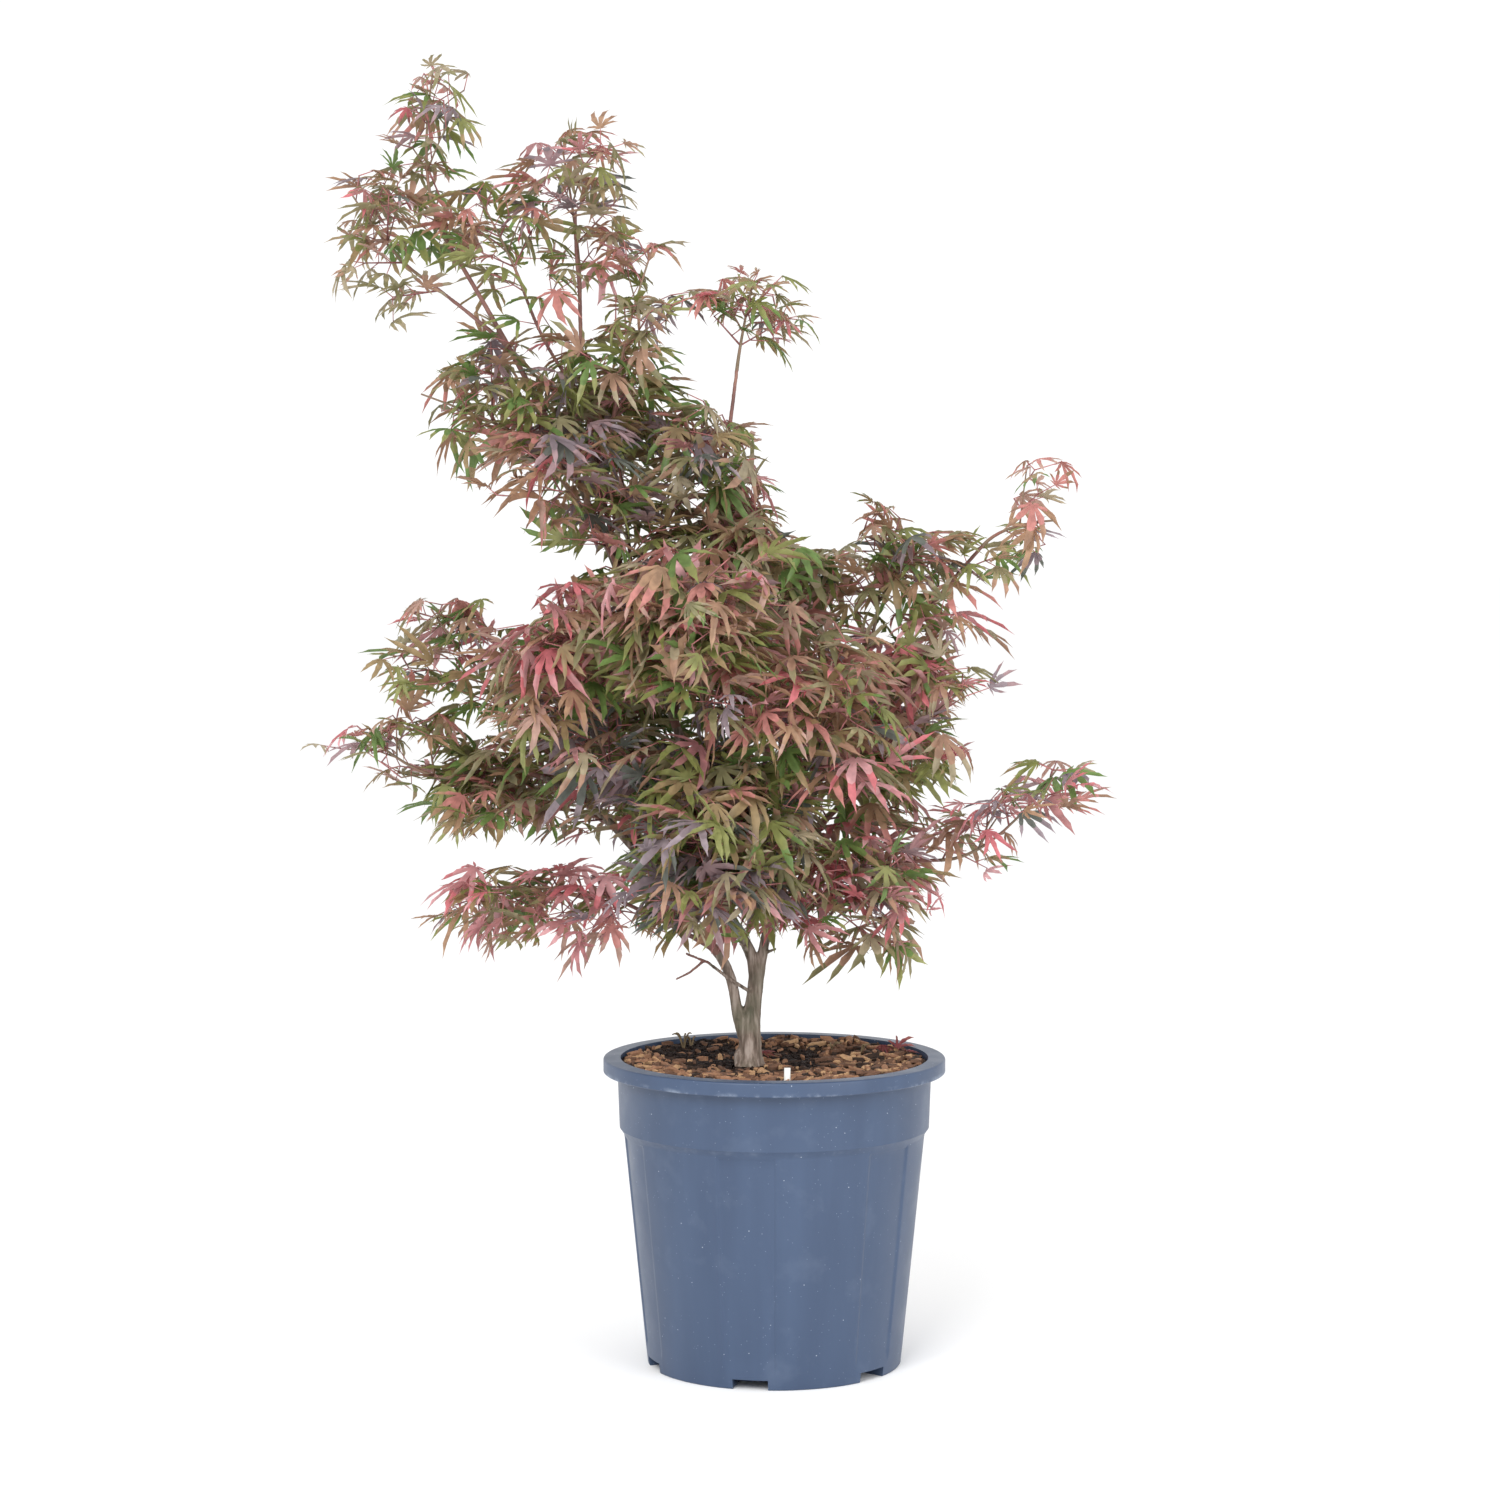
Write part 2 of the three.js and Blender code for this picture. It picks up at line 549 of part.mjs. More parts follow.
class Mass {
  constructor([name, bough, middle, half, leafShare, tint], index) {
    this.name = name;
    this.limb = limbs.get(bough);
    this.middle = toVec(middle);
    this.half = toVec(half).multiplyScalar(SPREAD);
    this.leaf = LEAF_LOBE * leafShare;
    this.tint = tint;
    this.random = seeded(100 + index);
    this.pieces = []; // the stem, twigs and leaves that are already in place
    this.stem = this.stemLine();
  }

  stemSolid(extra) {
    const shares = [0, 0.25, 0.5, 0.75, 1];
    const points = shares.map((share) => this.stem.getPoint(share));
    const directions = shares.map((share) => this.stem.getTangent(share));
    const radius = tapered(this.limb.tipRadius + extra, TWIG_TIP_RADIUS + extra);
    return tube(points, radius, STEM_SIDES, directions);
  }

  // 0 at the middle of the space and 1 on its border.
  depth(point) {
    return point.clone().sub(this.middle).divide(this.half).length();
  }

  // How far it is from a point to the border in a direction.
  room(from, direction) {
    let distance = 0;
    while (distance < 250 && this.depth(from.clone().addScaledVector(direction, distance)) < 1) {
      distance += 2;
    }
    return distance;
  }

  // From the bough's tip through the middle of the space, ending a leaf short of its border.
  stemLine() {
    const tip = this.limb.curve.getPoint(1);
    const along = this.limb.curve.getTangent(1);
    const start = tip.clone().addScaledVector(along, GAP);
    const onward = this.middle.clone().sub(tip).setLength(1).addScaledVector(UP, STEM_LIFT);
    const reach = this.room(this.middle, onward.normalize()) - this.leaf * 0.5;
    const end = this.middle.clone().addScaledVector(onward, Math.max(reach, 4));
    const lead = start.clone().addScaledVector(along, start.distanceTo(end) * 0.35);
    return new THREE.QuadraticBezierCurve3(start, lead, end);
  }

  // Whether every point is in this mass's own space, and no nearer the middle of another.
  holds(points) {
    return points.every((point) => {
      const own = this.depth(point);
      return own < 1 && masses.every((m) => m === this || m.depth(point) > own + CELL_MARGIN);
    });
  }

  // Whether a solid is off every limb, every other stem and every mass made so far.
  frees(piece) {
    return taken.every((other) => other.mass === this || !meet(piece, other));
  }
}

// A solid with the box round it, which settles most tests of whether two solids meet.
function boxed(solid, mass) {
  const { min, max } = solid.boundingBox();
  return { solid, mass, box: new THREE.Box3(toVec(min), toVec(max)) };
}

const meet = (a, b) => a.box.intersectsBox(b.box) && !a.solid.intersect(b.solid).isEmpty();

const masses = MASSES.map((row, index) => new Mass(row, index));
const taken = [
  ...[...limbs.values()].map((limb) => boxed(limb.solid(0, 1, 8, 16, LIMB_CLEARANCE))),
  ...masses.map((mass) => boxed(mass.stemSolid(LIMB_CLEARANCE), mass)),
];

// A leaf whose stalk leaves its root in a direction and falls over towards its tip, and the
// points that have to be clear for it to be there.
function leafPlace(root, direction, size, tilt) {
  const along = direction.clone();
  along.z -= LEAF_HANG;
  along.normalize();
  const face = UP.clone().addScaledVector(direction, 0.4);
  const across = face.cross(along).normalize().applyAxisAngle(along, tilt);
  const normal = along.clone().cross(across);
  const centre = root.clone().addScaledVector(along, LEAF_STALK);
  const matrix = new THREE.Matrix4().makeBasis(along, across, normal).setPosition(centre);
  const geometry = leafGeometry(size).applyMatrix4(matrix);
  const position = geometry.attributes.position;
  const points = [centre];
  for (let i = 3; i < position.count; i++) {
    const corner = vec(0, 0, 0).fromBufferAttribute(position, i);
    points.push(corner, corner.clone().lerp(centre, 0.35), corner.clone().lerp(centre, 0.7));
  }
  return { geometry, points };
}

// A leaf is tried smaller and turned aside until it fits, and left out where it never does.
function addLeaf(mass, root, direction, carrier) {
  const tilt = rad(60) * (mass.random() - 0.5);
  for (const [share, turn] of LEAF_TRIES) {
    const heading = direction.clone().applyAxisAngle(UP, rad(turn));
    const { geometry, points } = leafPlace(root, heading, mass.leaf * share, tilt);
    if (!mass.holds(points)) continue;
    const leaf = boxed(solidOf(geometry));
    if (mass.pieces.some((other) => other !== carrier && meet(leaf, other))) continue;
    if (!mass.frees(leaf)) continue;
    mass.pieces.push(leaf);
    return 1;
  }
  return 0;
}

// Leaves along the last stretch of a twig or stem, each turned away from its direction.
function addLeaves(mass, at, direction, turns, carrier) {
  const side = direction.clone().cross(UP).normalize();
  const lift = side.clone().cross(direction).normalize();
  let count = 0;
  turns.forEach((turn, i) => {
    const root = at.clone().addScaledVector(direction, -ROOT_SINK - i * ROOT_STEP);
    const heading = direction.clone().applyAxisAngle(lift, rad(turn));
    count += addLeaf(mass, root, heading, carrier);
  });
  return count;
}

// The longest twig from a node that still has room for a leaf at its end.
function twigLength(mass, node, heading) {
  let length = Math.min(mass.room(node, heading), LONGEST_TWIG);
  while (length > SHORTEST_TWIG) {
    const end = node.clone().addScaledVector(heading, length);
    if (mass.holds(leafPlace(end, heading, mass.leaf * 0.9, 0).points)) break;
    length -= 5;
  }
  return length;
}

// A twig from the stem with leaves at its end, and on a long one half-way too. Where there is
// no room for a twig, a leaf springs from the stem.
function addTwig(mass, node, heading, stem) {
  const length = twigLength(mass, node, heading);
  const end = node.clone().addScaledVector(heading, length);
  const middle = node.clone().lerp(end, 0.5);
  const twig = boxed(tube([node, end], tapered(TWIG_RADIUS, TWIG_TIP_RADIUS), TWIG_SIDES));
  const crossed = mass.pieces.some((other) => other !== stem && meet(twig, other));
  if (length < SHORTEST_TWIG || crossed || !mass.holds([middle, end]) || !mass.frees(twig)) {
    addLeaf(mass, node, heading, stem);
    return;
  }
  let count = addLeaves(mass, end, heading, END_TURNS, twig);
  if (length > mass.leaf * 0.6) count += addLeaves(mass, middle, heading, SIDE_TURNS, twig);
  if (count > 0) mass.pieces.push(twig);
}

// Twigs in pairs, one to each side of the stem, each pair turned a quarter from the last.
function massSolid(mass) {
  const line = mass.stem;
  const nodes = Math.max(2, Math.round(line.getLength() / NODE_SPACING));
  const stem = boxed(mass.stemSolid(0));
  const firstTurn = mass.random() * Math.PI;
  mass.pieces.push(stem);
  addLeaves(mass, line.getPoint(1), line.getTangent(1), END_TURNS, stem);
  for (let i = nodes; i > 0; i--) {
    const share = Math.min(i / nodes, 0.93);
    const along = line.getTangent(share);
    const side = along.clone().cross(UP).normalize();
    side.applyAxisAngle(along, firstTurn + (i * Math.PI) / 2);
    for (const way of [1, -1]) {
      const node = line.getPoint(share).addScaledVector(along, way * PAIR_OFFSET);
      const heading = along.clone().multiplyScalar(TWIG_LEAN).addScaledVector(side, way);
      addTwig(mass, node, heading.addScaledVector(UP, TWIG_LIFT).normalize(), stem);
    }
  }
  const whole = joined(mass.pieces.map((piece) => piece.solid));
  taken.push(boxed(whole));
  return whole;
}

// ---------------------------------------------------------------- the whole plant

const origin = vec(0, 0, 0);
const plant = new THREE.Group();

const container = new THREE.Group();
container.add(namedMesh("pot", potSolid(), material("pot", 0.55), origin));
container.add(namedMesh("growing_medium", mediumSolid(), material("medium", 0.95), origin));
plant.add(container);

const wood = new THREE.Group();
const bark = material("bark", 0.8);
const trunkFoot = vec(TRUNK_X, 0, GROUND + GAP);
wood.add(namedMesh("trunk", trunkSolid(), bark, trunkFoot));
for (const limb of limbs.values()) {
  wood.add(namedMesh(limb.name, boughSolid(limb), bark, limb.curve.getPoint(0)));
}
plant.add(wood);

const foliage = new THREE.Group();
for (const mass of masses) {
  const leaf = material(mass.tint, 0.7);
  foliage.add(namedMesh(mass.name, massSolid(mass), leaf, mass.stem.getPoint(0)));
}
plant.add(foliage);

export default plant;
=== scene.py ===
"""The looks of the potted Japanese maple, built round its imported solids.

Lengths are millimetres until a mesh is made, and then metres. +Z is up, -Y the plant's front
and -X its left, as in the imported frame. The limbs, the spaces of the foliage masses and the
rule that they branch by are the ones of the part's source, written again here and carried on
to finer twigs and leaves of nearly their real size.
"""

import math

import bpy
import numpy as np
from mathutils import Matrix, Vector, noise


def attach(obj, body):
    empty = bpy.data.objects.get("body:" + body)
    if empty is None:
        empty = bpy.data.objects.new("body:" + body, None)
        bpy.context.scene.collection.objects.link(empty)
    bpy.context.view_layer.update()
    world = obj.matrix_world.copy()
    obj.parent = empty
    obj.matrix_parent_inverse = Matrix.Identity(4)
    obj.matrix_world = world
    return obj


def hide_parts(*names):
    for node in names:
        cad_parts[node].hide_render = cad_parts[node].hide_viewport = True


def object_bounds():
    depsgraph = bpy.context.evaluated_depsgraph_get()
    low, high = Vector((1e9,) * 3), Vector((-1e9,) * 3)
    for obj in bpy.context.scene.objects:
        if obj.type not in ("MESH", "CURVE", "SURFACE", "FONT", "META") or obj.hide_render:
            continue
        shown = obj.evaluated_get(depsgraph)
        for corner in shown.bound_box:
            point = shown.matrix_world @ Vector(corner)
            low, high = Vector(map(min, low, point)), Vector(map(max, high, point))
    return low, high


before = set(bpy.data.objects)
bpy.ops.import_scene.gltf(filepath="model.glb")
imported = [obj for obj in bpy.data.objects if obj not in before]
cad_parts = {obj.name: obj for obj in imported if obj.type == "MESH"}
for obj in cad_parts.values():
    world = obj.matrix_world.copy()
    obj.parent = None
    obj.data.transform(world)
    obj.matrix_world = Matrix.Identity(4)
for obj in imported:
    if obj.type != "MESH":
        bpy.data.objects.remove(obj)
cad_low, cad_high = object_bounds()

MM = 0.001
BODY = "root"
UP = np.array([0.0, 0.0, 1.0])

# ------------------------------------------------------------------ camera

CAMERA_PLACE = (-24.2, -3412.0, 829.0)
CAMERA_PITCH = 3.65  # degrees down
CAMERA_LENS = 82.92  # on a sensor 36 mm wide


def make_camera():
    data = bpy.data.cameras.new("camera")
    data.lens = CAMERA_LENS
    data.sensor_width = 36
    camera = bpy.data.objects.new("camera", data)
    camera.location = Vector(CAMERA_PLACE) * MM
    camera.rotation_euler = (math.radians(90 - CAMERA_PITCH), 0, 0)
    bpy.context.scene.collection.objects.link(camera)
    bpy.context.scene.camera = camera


# ------------------------------------------------------------------ the source's dimensions

POT_HEIGHT = 306
RIM_RADIUS = 170
LIP_DROP = 14
LIP_WALL = 3
LIP_ROUNDING = 2
COLLAR_TOP_RADIUS = 156.5
COLLAR_FOOT_RADIUS = 154
COLLAR_FOOT = 237
WALL_TOP = 230
WALL_TOP_RADIUS = 149.5
FOOT_RADIUS = 126.5
WALL = 2
FLOOR = 3.5
FLUTES = 6
FLUTE_TURN = -11
FLUTE_WIDTH = 22
FLUTE_DEPTH = 1.5
FLUTE_FOOT = 16
CHANNEL_WIDTH = 35
CHANNEL_HEIGHT = 10
CHANNEL_INNER_END = 60
DRAIN_RADIUS = 5.5
DRAIN_DISTANCE = 98
GROUND = 296
GAP = 0.35

TRUNK_X = -24
TRUNK_BASE_RADIUS = 12
ROOT_FLARE = 4.5
FORK_HEIGHT = 54
TRUNK_TAPER = 0.055
TRUNK_LEAN = 0.03
GRAFT_RADIUS = 8.5

LEAF_LOBE = 60
SPREAD = 1.08
STEM_LIFT = 0.5
NODE_SPACING = 44
TWIG_LEAN = 0.45
TWIG_LIFT = 0.45

LIMB_FEET = {"left": (-27, -1, 320), "centre": (-24, 0, 318), "right": (-20, 1, 318)}

# Name, parent, share of the parent, tip, bow of the middle, radii at the base and the tip.
BOUGHS = [
    ("left_limb", "left", 0.085, (-306, 0, 586), (0, -6, 180), 5.6, 2.2),
    ("centre_limb", "centre", 0.15, (-322, 0, 1112), (95, 8, 0), 6.2, 2.1),
    ("right_limb", "right", 0.215, (206, 0, 814), (-110, 10, 0), 5.8, 1.9),
    ("leader_b", "centre_limb", 0.49, (-192, 15, 1065), (-35, 6, 0), 3.4, 2.1),
    ("leader_c", "leader_b", 0.5, (-153, -15, 972), (6, 0, 0), 2.3, 1.8),
    ("leader_d", "centre_limb", 0.41, (-37, 0, 987), (10, 0, -12), 2.9, 1.9),
    ("left_shoulder_bough", "centre_limb", 0.87, (-349, 10, 1078), (-6, 0, 8), 2.2, 1.7),
    ("between_bough", "leader_b", 0.7, (-246, 0, 1062), (-8, 0, -14), 2.1, 1.7),
    ("upper_left_bough", "centre_limb", 0.7, (-252, -12, 922), (0, 0, 8), 2.4, 1.8),
    ("upper_front_bough", "centre_limb", 0.53, (-178, -44, 838), (8, -10, 0), 2.6, 1.8),
    ("upper_right_bough", "leader_b", 0.2, (-98, 0, 850), (6, 0, 10), 2.4, 1.8),
    ("upper_back_bough", "leader_b", 0.12, (-150, 62, 862), (0, 10, 0), 2.6, 1.8),
    ("core_bough", "centre_limb", 0.33, (-30, 0, 704), (12, 0, 0), 2.6, 1.8),
    ("front_centre_bough", "centre_limb", 0.2, (-66, -140, 640), (0, -24, -12), 3.2, 1.8),
    ("back_centre_bough", "centre_limb", 0.26, (-30, 128, 632), (0, 22, -12), 3.2, 1.8),
    ("front_low_bough", "centre_limb", 0.17, (-42, -72, 462), (0, -6, 8), 2.4, 1.7),
    ("back_low_bough", "centre_limb", 0.175, (-60, 98, 472), (0, 10, 10), 2.6, 1.8),
    ("left_bottom_bough", "left_limb", 0.16, (-168, -36, 470), (-4, -4, 16), 2.6, 1.8),
    ("left_low_bough", "left_limb", 0.47, (-212, 30, 550), (0, 4, 8), 2.4, 1.8),
    ("left_mid_bough", "left_limb", 0.62, (-262, -15, 654), (0, 0, 14), 2.6, 1.8),
    ("left_front_bough", "left_limb", 0.33, (-168, -86, 622), (0, -14, 0), 2.9, 1.8),
    ("back_left_bough", "left_limb", 0.27, (-156, 98, 588), (0, 16, 0), 2.9, 1.8),
    ("right_inner_bough", "right_limb", 0.6, (98, 14, 728), (6, 0, 6), 2.6, 1.8),
    ("right_mid_bough", "right_limb", 0.36, (128, -10, 604), (0, 0, 18), 2.8, 1.8),
    ("right_low_bough", "right_limb", 0.29, (166, 0, 502), (0, 0, 18), 2.9, 1.8),
    ("right_bottom_bough", "right_limb", 0.245, (38, -46, 462), (0, -6, 12), 2.5, 1.8),
    ("front_right_bough", "right_limb", 0.32, (26, -98, 580), (0, -18, -8), 2.8, 1.8),
    ("back_right_bough", "right_limb", 0.31, (68, 92, 552), (0, 18, 0), 2.8, 1.8),
]

# Name, bough, middle and half-sizes of the space, the share of the leaves' size, the tint, and
# the share of the shoots that grow, which is small where a mass is airy.
MASSES = [
    ("crown_top", "centre_limb", (-330, 0, 1210), (60, 62, 84), 0.74, "olive", 0.38),
    ("left_shoulder", "left_shoulder_bough", (-388, 8, 1114), (58, 66, 78), 0.76, "olive", 0.36),
    ("between_leaders", "between_bough", (-272, -8, 1108), (58, 70, 62), 0.78, "bronze", 0.36),
    ("upper_left", "upper_left_bough", (-300, -8, 930), (82, 78, 74), 0.95, "olive", 0.64),
    ("leader_tip", "leader_b", (-205, 8, 1165), (90, 78, 56), 0.82, "bronze", 0.34),
    ("leader_side", "leader_c", (-132, -18, 1040), (84, 80, 84), 0.9, "bronze", 0.5),
    ("small_tip", "leader_d", (-27, 0, 1032), (55, 56, 53), 0.62, "olive", 0.9),
    ("upper_front", "upper_front_bough", (-195, -66, 850), (112, 84, 84), 1.15, "purple", 0.55),
    ("upper_right", "upper_right_bough", (-76, -4, 884), (80, 88, 84), 1.0, "bronze", 0.6),
    ("upper_back", "upper_back_bough", (-165, 96, 890), (112, 88, 96), 1.15, "green", 0.6),
    ("core", "core_bough", (-20, 0, 770), (104, 100, 96), 1.15, "bronze", 0.85),
    ("right_tip", "right_limb", (242, 0, 812), (82, 84, 96), 0.85, "olive", 0.45),
    ("right_inner", "right_inner_bough", (104, 16, 780), (84, 90, 84), 1.0, "bronze", 0.65),
    ("right_mid", "right_mid_bough", (140, -6, 652), (88, 92, 80), 1.05, "pink", 0.8),
    ("right_low", "right_low_bough", (243, 0, 549), (92, 86, 74), 0.9, "pink", 0.36),
    ("right_bottom", "right_bottom_bough", (82, -60, 456), (92, 86, 76), 1.05, "pink", 0.8),
    ("left_mid", "left_mid_bough", (-312, -14, 706), (96, 84, 72), 1.0, "olive", 0.34),
    ("left_tip", "left_limb", (-382, 0, 610), (86, 74, 54), 0.88, "olive", 0.7),
    ("left_low", "left_low_bough", (-268, 34, 552), (104, 90, 54), 0.9, "green", 0.75),
    ("left_bottom", "left_bottom_bough", (-268, -36, 452), (106, 76, 56), 0.92, "pink", 0.72),
    ("left_front", "left_front_bough", (-190, -128, 690), (108, 96, 104), 1.25, "pink", 0.62),
    ("front_centre", "front_centre_bough", (-74, -186, 712), (102, 96, 108), 1.25, "bronze", 0.62),
    ("front_right", "front_right_bough", (42, -146, 640), (100, 94, 104), 1.2, "bronze", 0.62),
    ("front_low", "front_low_bough", (-62, -136, 520), (118, 96, 104), 1.25, "purple", 0.85),
    ("back_left", "back_left_bough", (-178, 150, 650), (116, 100, 108), 1.25, "green", 0.75),
    ("back_centre", "back_centre_bough", (-30, 188, 712), (112, 100, 116), 1.25, "olive", 0.75),
    ("back_right", "back_right_bough", (98, 146, 600), (110, 100, 104), 1.25, "olive", 0.75),
    ("back_low", "back_low_bough", (-82, 168, 508), (116, 100, 100), 1.25, "green", 0.75),
]

# ------------------------------------------------------------------ the finer plant

# Just over the fork, the left and the centre limb stand straighter than the solids: the most
# that they are shifted by, at which height, and how far below and above it that fades out.
UPRIGHT_FEET = ("left", "centre")
UPRIGHT_SHIFT = 16
UPRIGHT_MIDDLE = 400
UPRIGHT_SPAN = (75, 60)

# A pair of numbers holds the least and the most that is drawn, and a pair named after a value
# is a share of that value.
LEAF_LENGTH = 50  # the middle lobe of a leaf whose share is 1
LEAF_SIZES = (0.62, 1.15)
STALK_LENGTH = 24
STALK_SIZES = (0.6, 1.25)
STALK_BEND = 0.55  # how far along its length a stalk bends down
STALK_LEVEL = 0.55  # the share of its shoot's rise that a stalk keeps
STALK_RISE = (-0.1, 0.35)
STALK_SAG = 0.5
STALK_ROOT = 0.8  # how deep a stalk is sunk into its shoot
STALK_RADII = (0.7, 0.5)
LOBE_TURNS = (-116, -79, -40, 0, 40, 79, 116)
LOBE_LENGTHS = (0.25, 0.58, 0.88, 1.0, 0.88, 0.58, 0.25)
LOBE_WIDTH = 0.08  # half a lobe's width, as a share of its length
LOBE_WIDTHS = (0.88, 1.15)
LOBE_SIZES = (0.86, 1.1)
LOBE_STRAY = 6  # degrees that a lobe may be turned
LOBE_BEND = 0.28  # radians that its tip may be turned
LOBE_CURL = (-0.05, 0.3)  # how far its tip hangs, as a share of its length
LEAF_DROOP = (0.06, 0.5)  # how far the leaf's rim hangs, as a share of its length
NOTCH = 0.21  # how far out two lobes part, as a share of the shorter one
NOTCH_SIZES = (0.9, 1.15)
OUTER_EDGE = 0.6  # radians from the outermost lobe to the leaf's back edge
# How wide a lobe is along its length, from the notch to near its tip.
LOBE_STATIONS = (0.42, 0.58, 0.74, 0.88)
LOBE_SHAPE = (0.98, 1.0, 0.72, 0.36)
SMALL_LOBE_STATIONS = (0.5, 0.8)
SMALL_LOBE_SHAPE = (1.0, 0.6)
TOOTH = 0.17  # how far a lobe's teeth stand out and its notches go in, as a share of its width
TOOTH_LEAN = 0.045  # how far a tooth points to the lobe's tip, as a share of its length
LOBE_END = 0.65  # from where on a lobe has the tint of its end
LEAF_FOLD = (0.66, 1.0)  # how far a leaf's lobes stay open
LOBE_FOLD = 0.6  # how steeply a lobe's halves rise from its midrib
CREASE = 0.02  # how much higher the skin lies between lobes, and lower on their midribs
LEAF_FORMS = 20
STEM_TIP_RADIUS = 0.9
STEM_END_SHARE = 0.55  # how far a stem's last shoot grows of its way to the border
LAST_NODE = 0.93  # the stem's share at which its last twigs stand
TWIG_TAPER = 0.78  # a twig's radius, as a share of its stem's
LONGEST_TWIG = 105
TWIG_BOW = 0.22
SHOOT_SPACING = 20  # between pairs of shoots along a twig
SHOOT_LENGTHS = (18, 46)
SHOOT_RADII = (0.85, 0.65)  # in its middle and at its end
SHOOT_LEAN = 0.7  # along its twig
SHOOT_SPREAD = 0.9  # away from it
SHOOT_LIFT = 0.15
TWIG_SHARES = (0.72, 0.98)  # how far a twig grows of its way to the space's border
LENGTH_STEP = 5  # by which a shoot is shortened until it fits
END_LEAF_SHARE = 0.5  # the share of shoots that end in a single leaf between the last two
# How deep the ends of twigs and shoots and the middles of leaves may lie: twigs where a
# space's border is 1, shoots and leaves where its reach is 1.
TWIG_ROOM = 0.85
SHOOT_ROOM = 0.8
LEAF_ROOM = 0.94
PAIR_OPENING = 68  # degrees between a shoot and the leaves of a pair
SHOOT_END_OPENING = 48
TWIG_END_OPENING = 50
OPENING_STRAY = 10
LEAF_SPACING = 13  # between pairs of leaves along a shoot
LEAF_LEVEL = 0.3  # the share of its shoot's rise that a leaf keeps
LEAF_SWING = 0.55  # to any side
LEAF_HANG = 0.55  # how steeply a leaf leans down
LEAF_HANGS = (-0.7, 1)
LEAF_TILT = 0.3  # how far its upper side faces away from the shoot
LEAF_ROLL = 0.6
SMALLER_LEAF = 0.72  # the size tried where a leaf has too little room
LEAF_STRAY = 0.5  # the share of leaves whose tint isn't their spray's
BOX_MARGIN = 13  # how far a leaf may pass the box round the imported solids
LEAF_CLEARANCE = 4  # from the middle line of a limb
SHORTEST_TWIG = 8
LIMB_SHOOT_SPACING = 30
LIMB_SHOOT_LENGTHS = (24, 70)
LIMB_SHOOT_REACH = 1.42  # how deep a limb may lie, where a space's border is 1
CELL_OVERLAP = 0.25  # how far neighbouring masses may mingle, as a share of their depth
LEAF_SPREAD = 1.02  # how deep the tips of lobes may lie, where a space's border is 1

# Openings where the sky shows from the front, at the depth of the pot's middle: the x and z
# of each middle, and its half-sizes.
OPENINGS = [
    (-394, 1258, 22, 44), (-272, 1252, 28, 28), (-452, 1115, 24, 58), (-352, 998, 24, 36),
    (-410, 1030, 22, 18), (-182, 1046, 12, 24), (-118, 1130, 22, 20), (-93, 1080, 36, 14),
    (-84, 1016, 32, 12), (-38, 972, 34, 32), (14, 925, 26, 56), (-370, 926, 28, 44),
    (-345, 878, 22, 30), (-266, 814, 30, 30), (-212, 796, 40, 11), (-251, 760, 20, 16),
    (-340, 779, 50, 18), (-400, 744, 28, 30), (-262, 744, 26, 13), (-424, 656, 52, 18),
    (-440, 586, 46, 18), (-271, 509, 72, 12), (-168, 517, 34, 12), (-365, 413, 46, 22),
    (-360, 488, 45, 20), (45, 842, 38, 32), (150, 846, 26, 14), (312, 822, 32, 50),
    (212, 900, 24, 42), (235, 452, 40, 36), (326, 642, 30, 20), (208, 705, 40, 10),
    (210, 640, 35, 30), (328, 508, 34, 34), (194, 572, 26, 13), (232, 631, 60, 13),
    (184, 472, 22, 13), (-74, 388, 62, 24), (-4, 398, 36, 30), (172, 422, 34, 24),
    (84, 364, 62, 16),
]
OPEN_SHARE = 0.12  # how much of a leaf may reach into an opening

LEAF_GLOW = 0.4  # the share of light that shines through a leaf
# The plain colours of each tint: three bodies, and the colour of the lobes' ends.
TINTS = {
    "green": ("6d874a", "858a50", "969960", "a08a66"),
    "olive": ("8a8560", "9a916f", "aa9d82", "ae8a74"),
    "bronze": ("b18e72", "a17e66", "bb988a", "c88881"),
    "pink": ("ca8d90", "b47e7e", "d9a5a8", "d27a80"),
    "purple": ("8b7c82", "6c716a", "a09198", "a98d91"),
}
SHADE_DEPTH = 0.8  # from here out a spray is in full light, where a space's border is 1
UNDER_SHADE = 0.4  # the shade at the lowest point of a space
SHADE_GREEN = 0.7  # how much more often a spray is green for its shade
# How the sprays of a mass are shared out between the tints, by the mass's own tint.
SHARES = {
    "green": {"green": 0.58, "olive": 0.24, "bronze": 0.08, "pink": 0.03, "purple": 0.07},
    "olive": {"green": 0.16, "olive": 0.44, "bronze": 0.22, "pink": 0.08, "purple": 0.1},
    "bronze": {"green": 0.16, "olive": 0.3, "bronze": 0.3, "pink": 0.13, "purple": 0.11},
    "pink": {"green": 0.16, "olive": 0.2, "bronze": 0.24, "pink": 0.32, "purple": 0.08},
    "purple": {"green": 0.24, "olive": 0.18, "bronze": 0.14, "pink": 0.08, "purple": 0.36},
}

# ------------------------------------------------------------------ vectors and lines


def vec(*values):
    return np.array(values[0] if len(values) == 1 else values, float)


def unit(v):
    return v / np.linalg.norm(v)


def turned(v, axis, angle):
    """v turned about a unit axis by an angle in radians."""
    c, s = math.cos(angle), math.sin(angle)
    return v * c + np.cross(axis, v) * s + axis * (axis @ v) * (1 - c)


LINE_STEPS = 40  # in which a line is measured


class Bezier:
    def __init__(self, a, b, c):
        self.a, self.b, self.c = a, b, c

    def point(self, t):
        return self.a * (1 - t) ** 2 + self.b * 2 * t * (1 - t) + self.c * t * t

    def tangent(self, t):
        return unit((self.b - self.a) * (1 - t) + (self.c - self.b) * t)

    def length(self):
        points = [self.point(i / LINE_STEPS) for i in range(LINE_STEPS + 1)]
        return sum(np.linalg.norm(q - p) for p, q in zip(points, points[1:]))


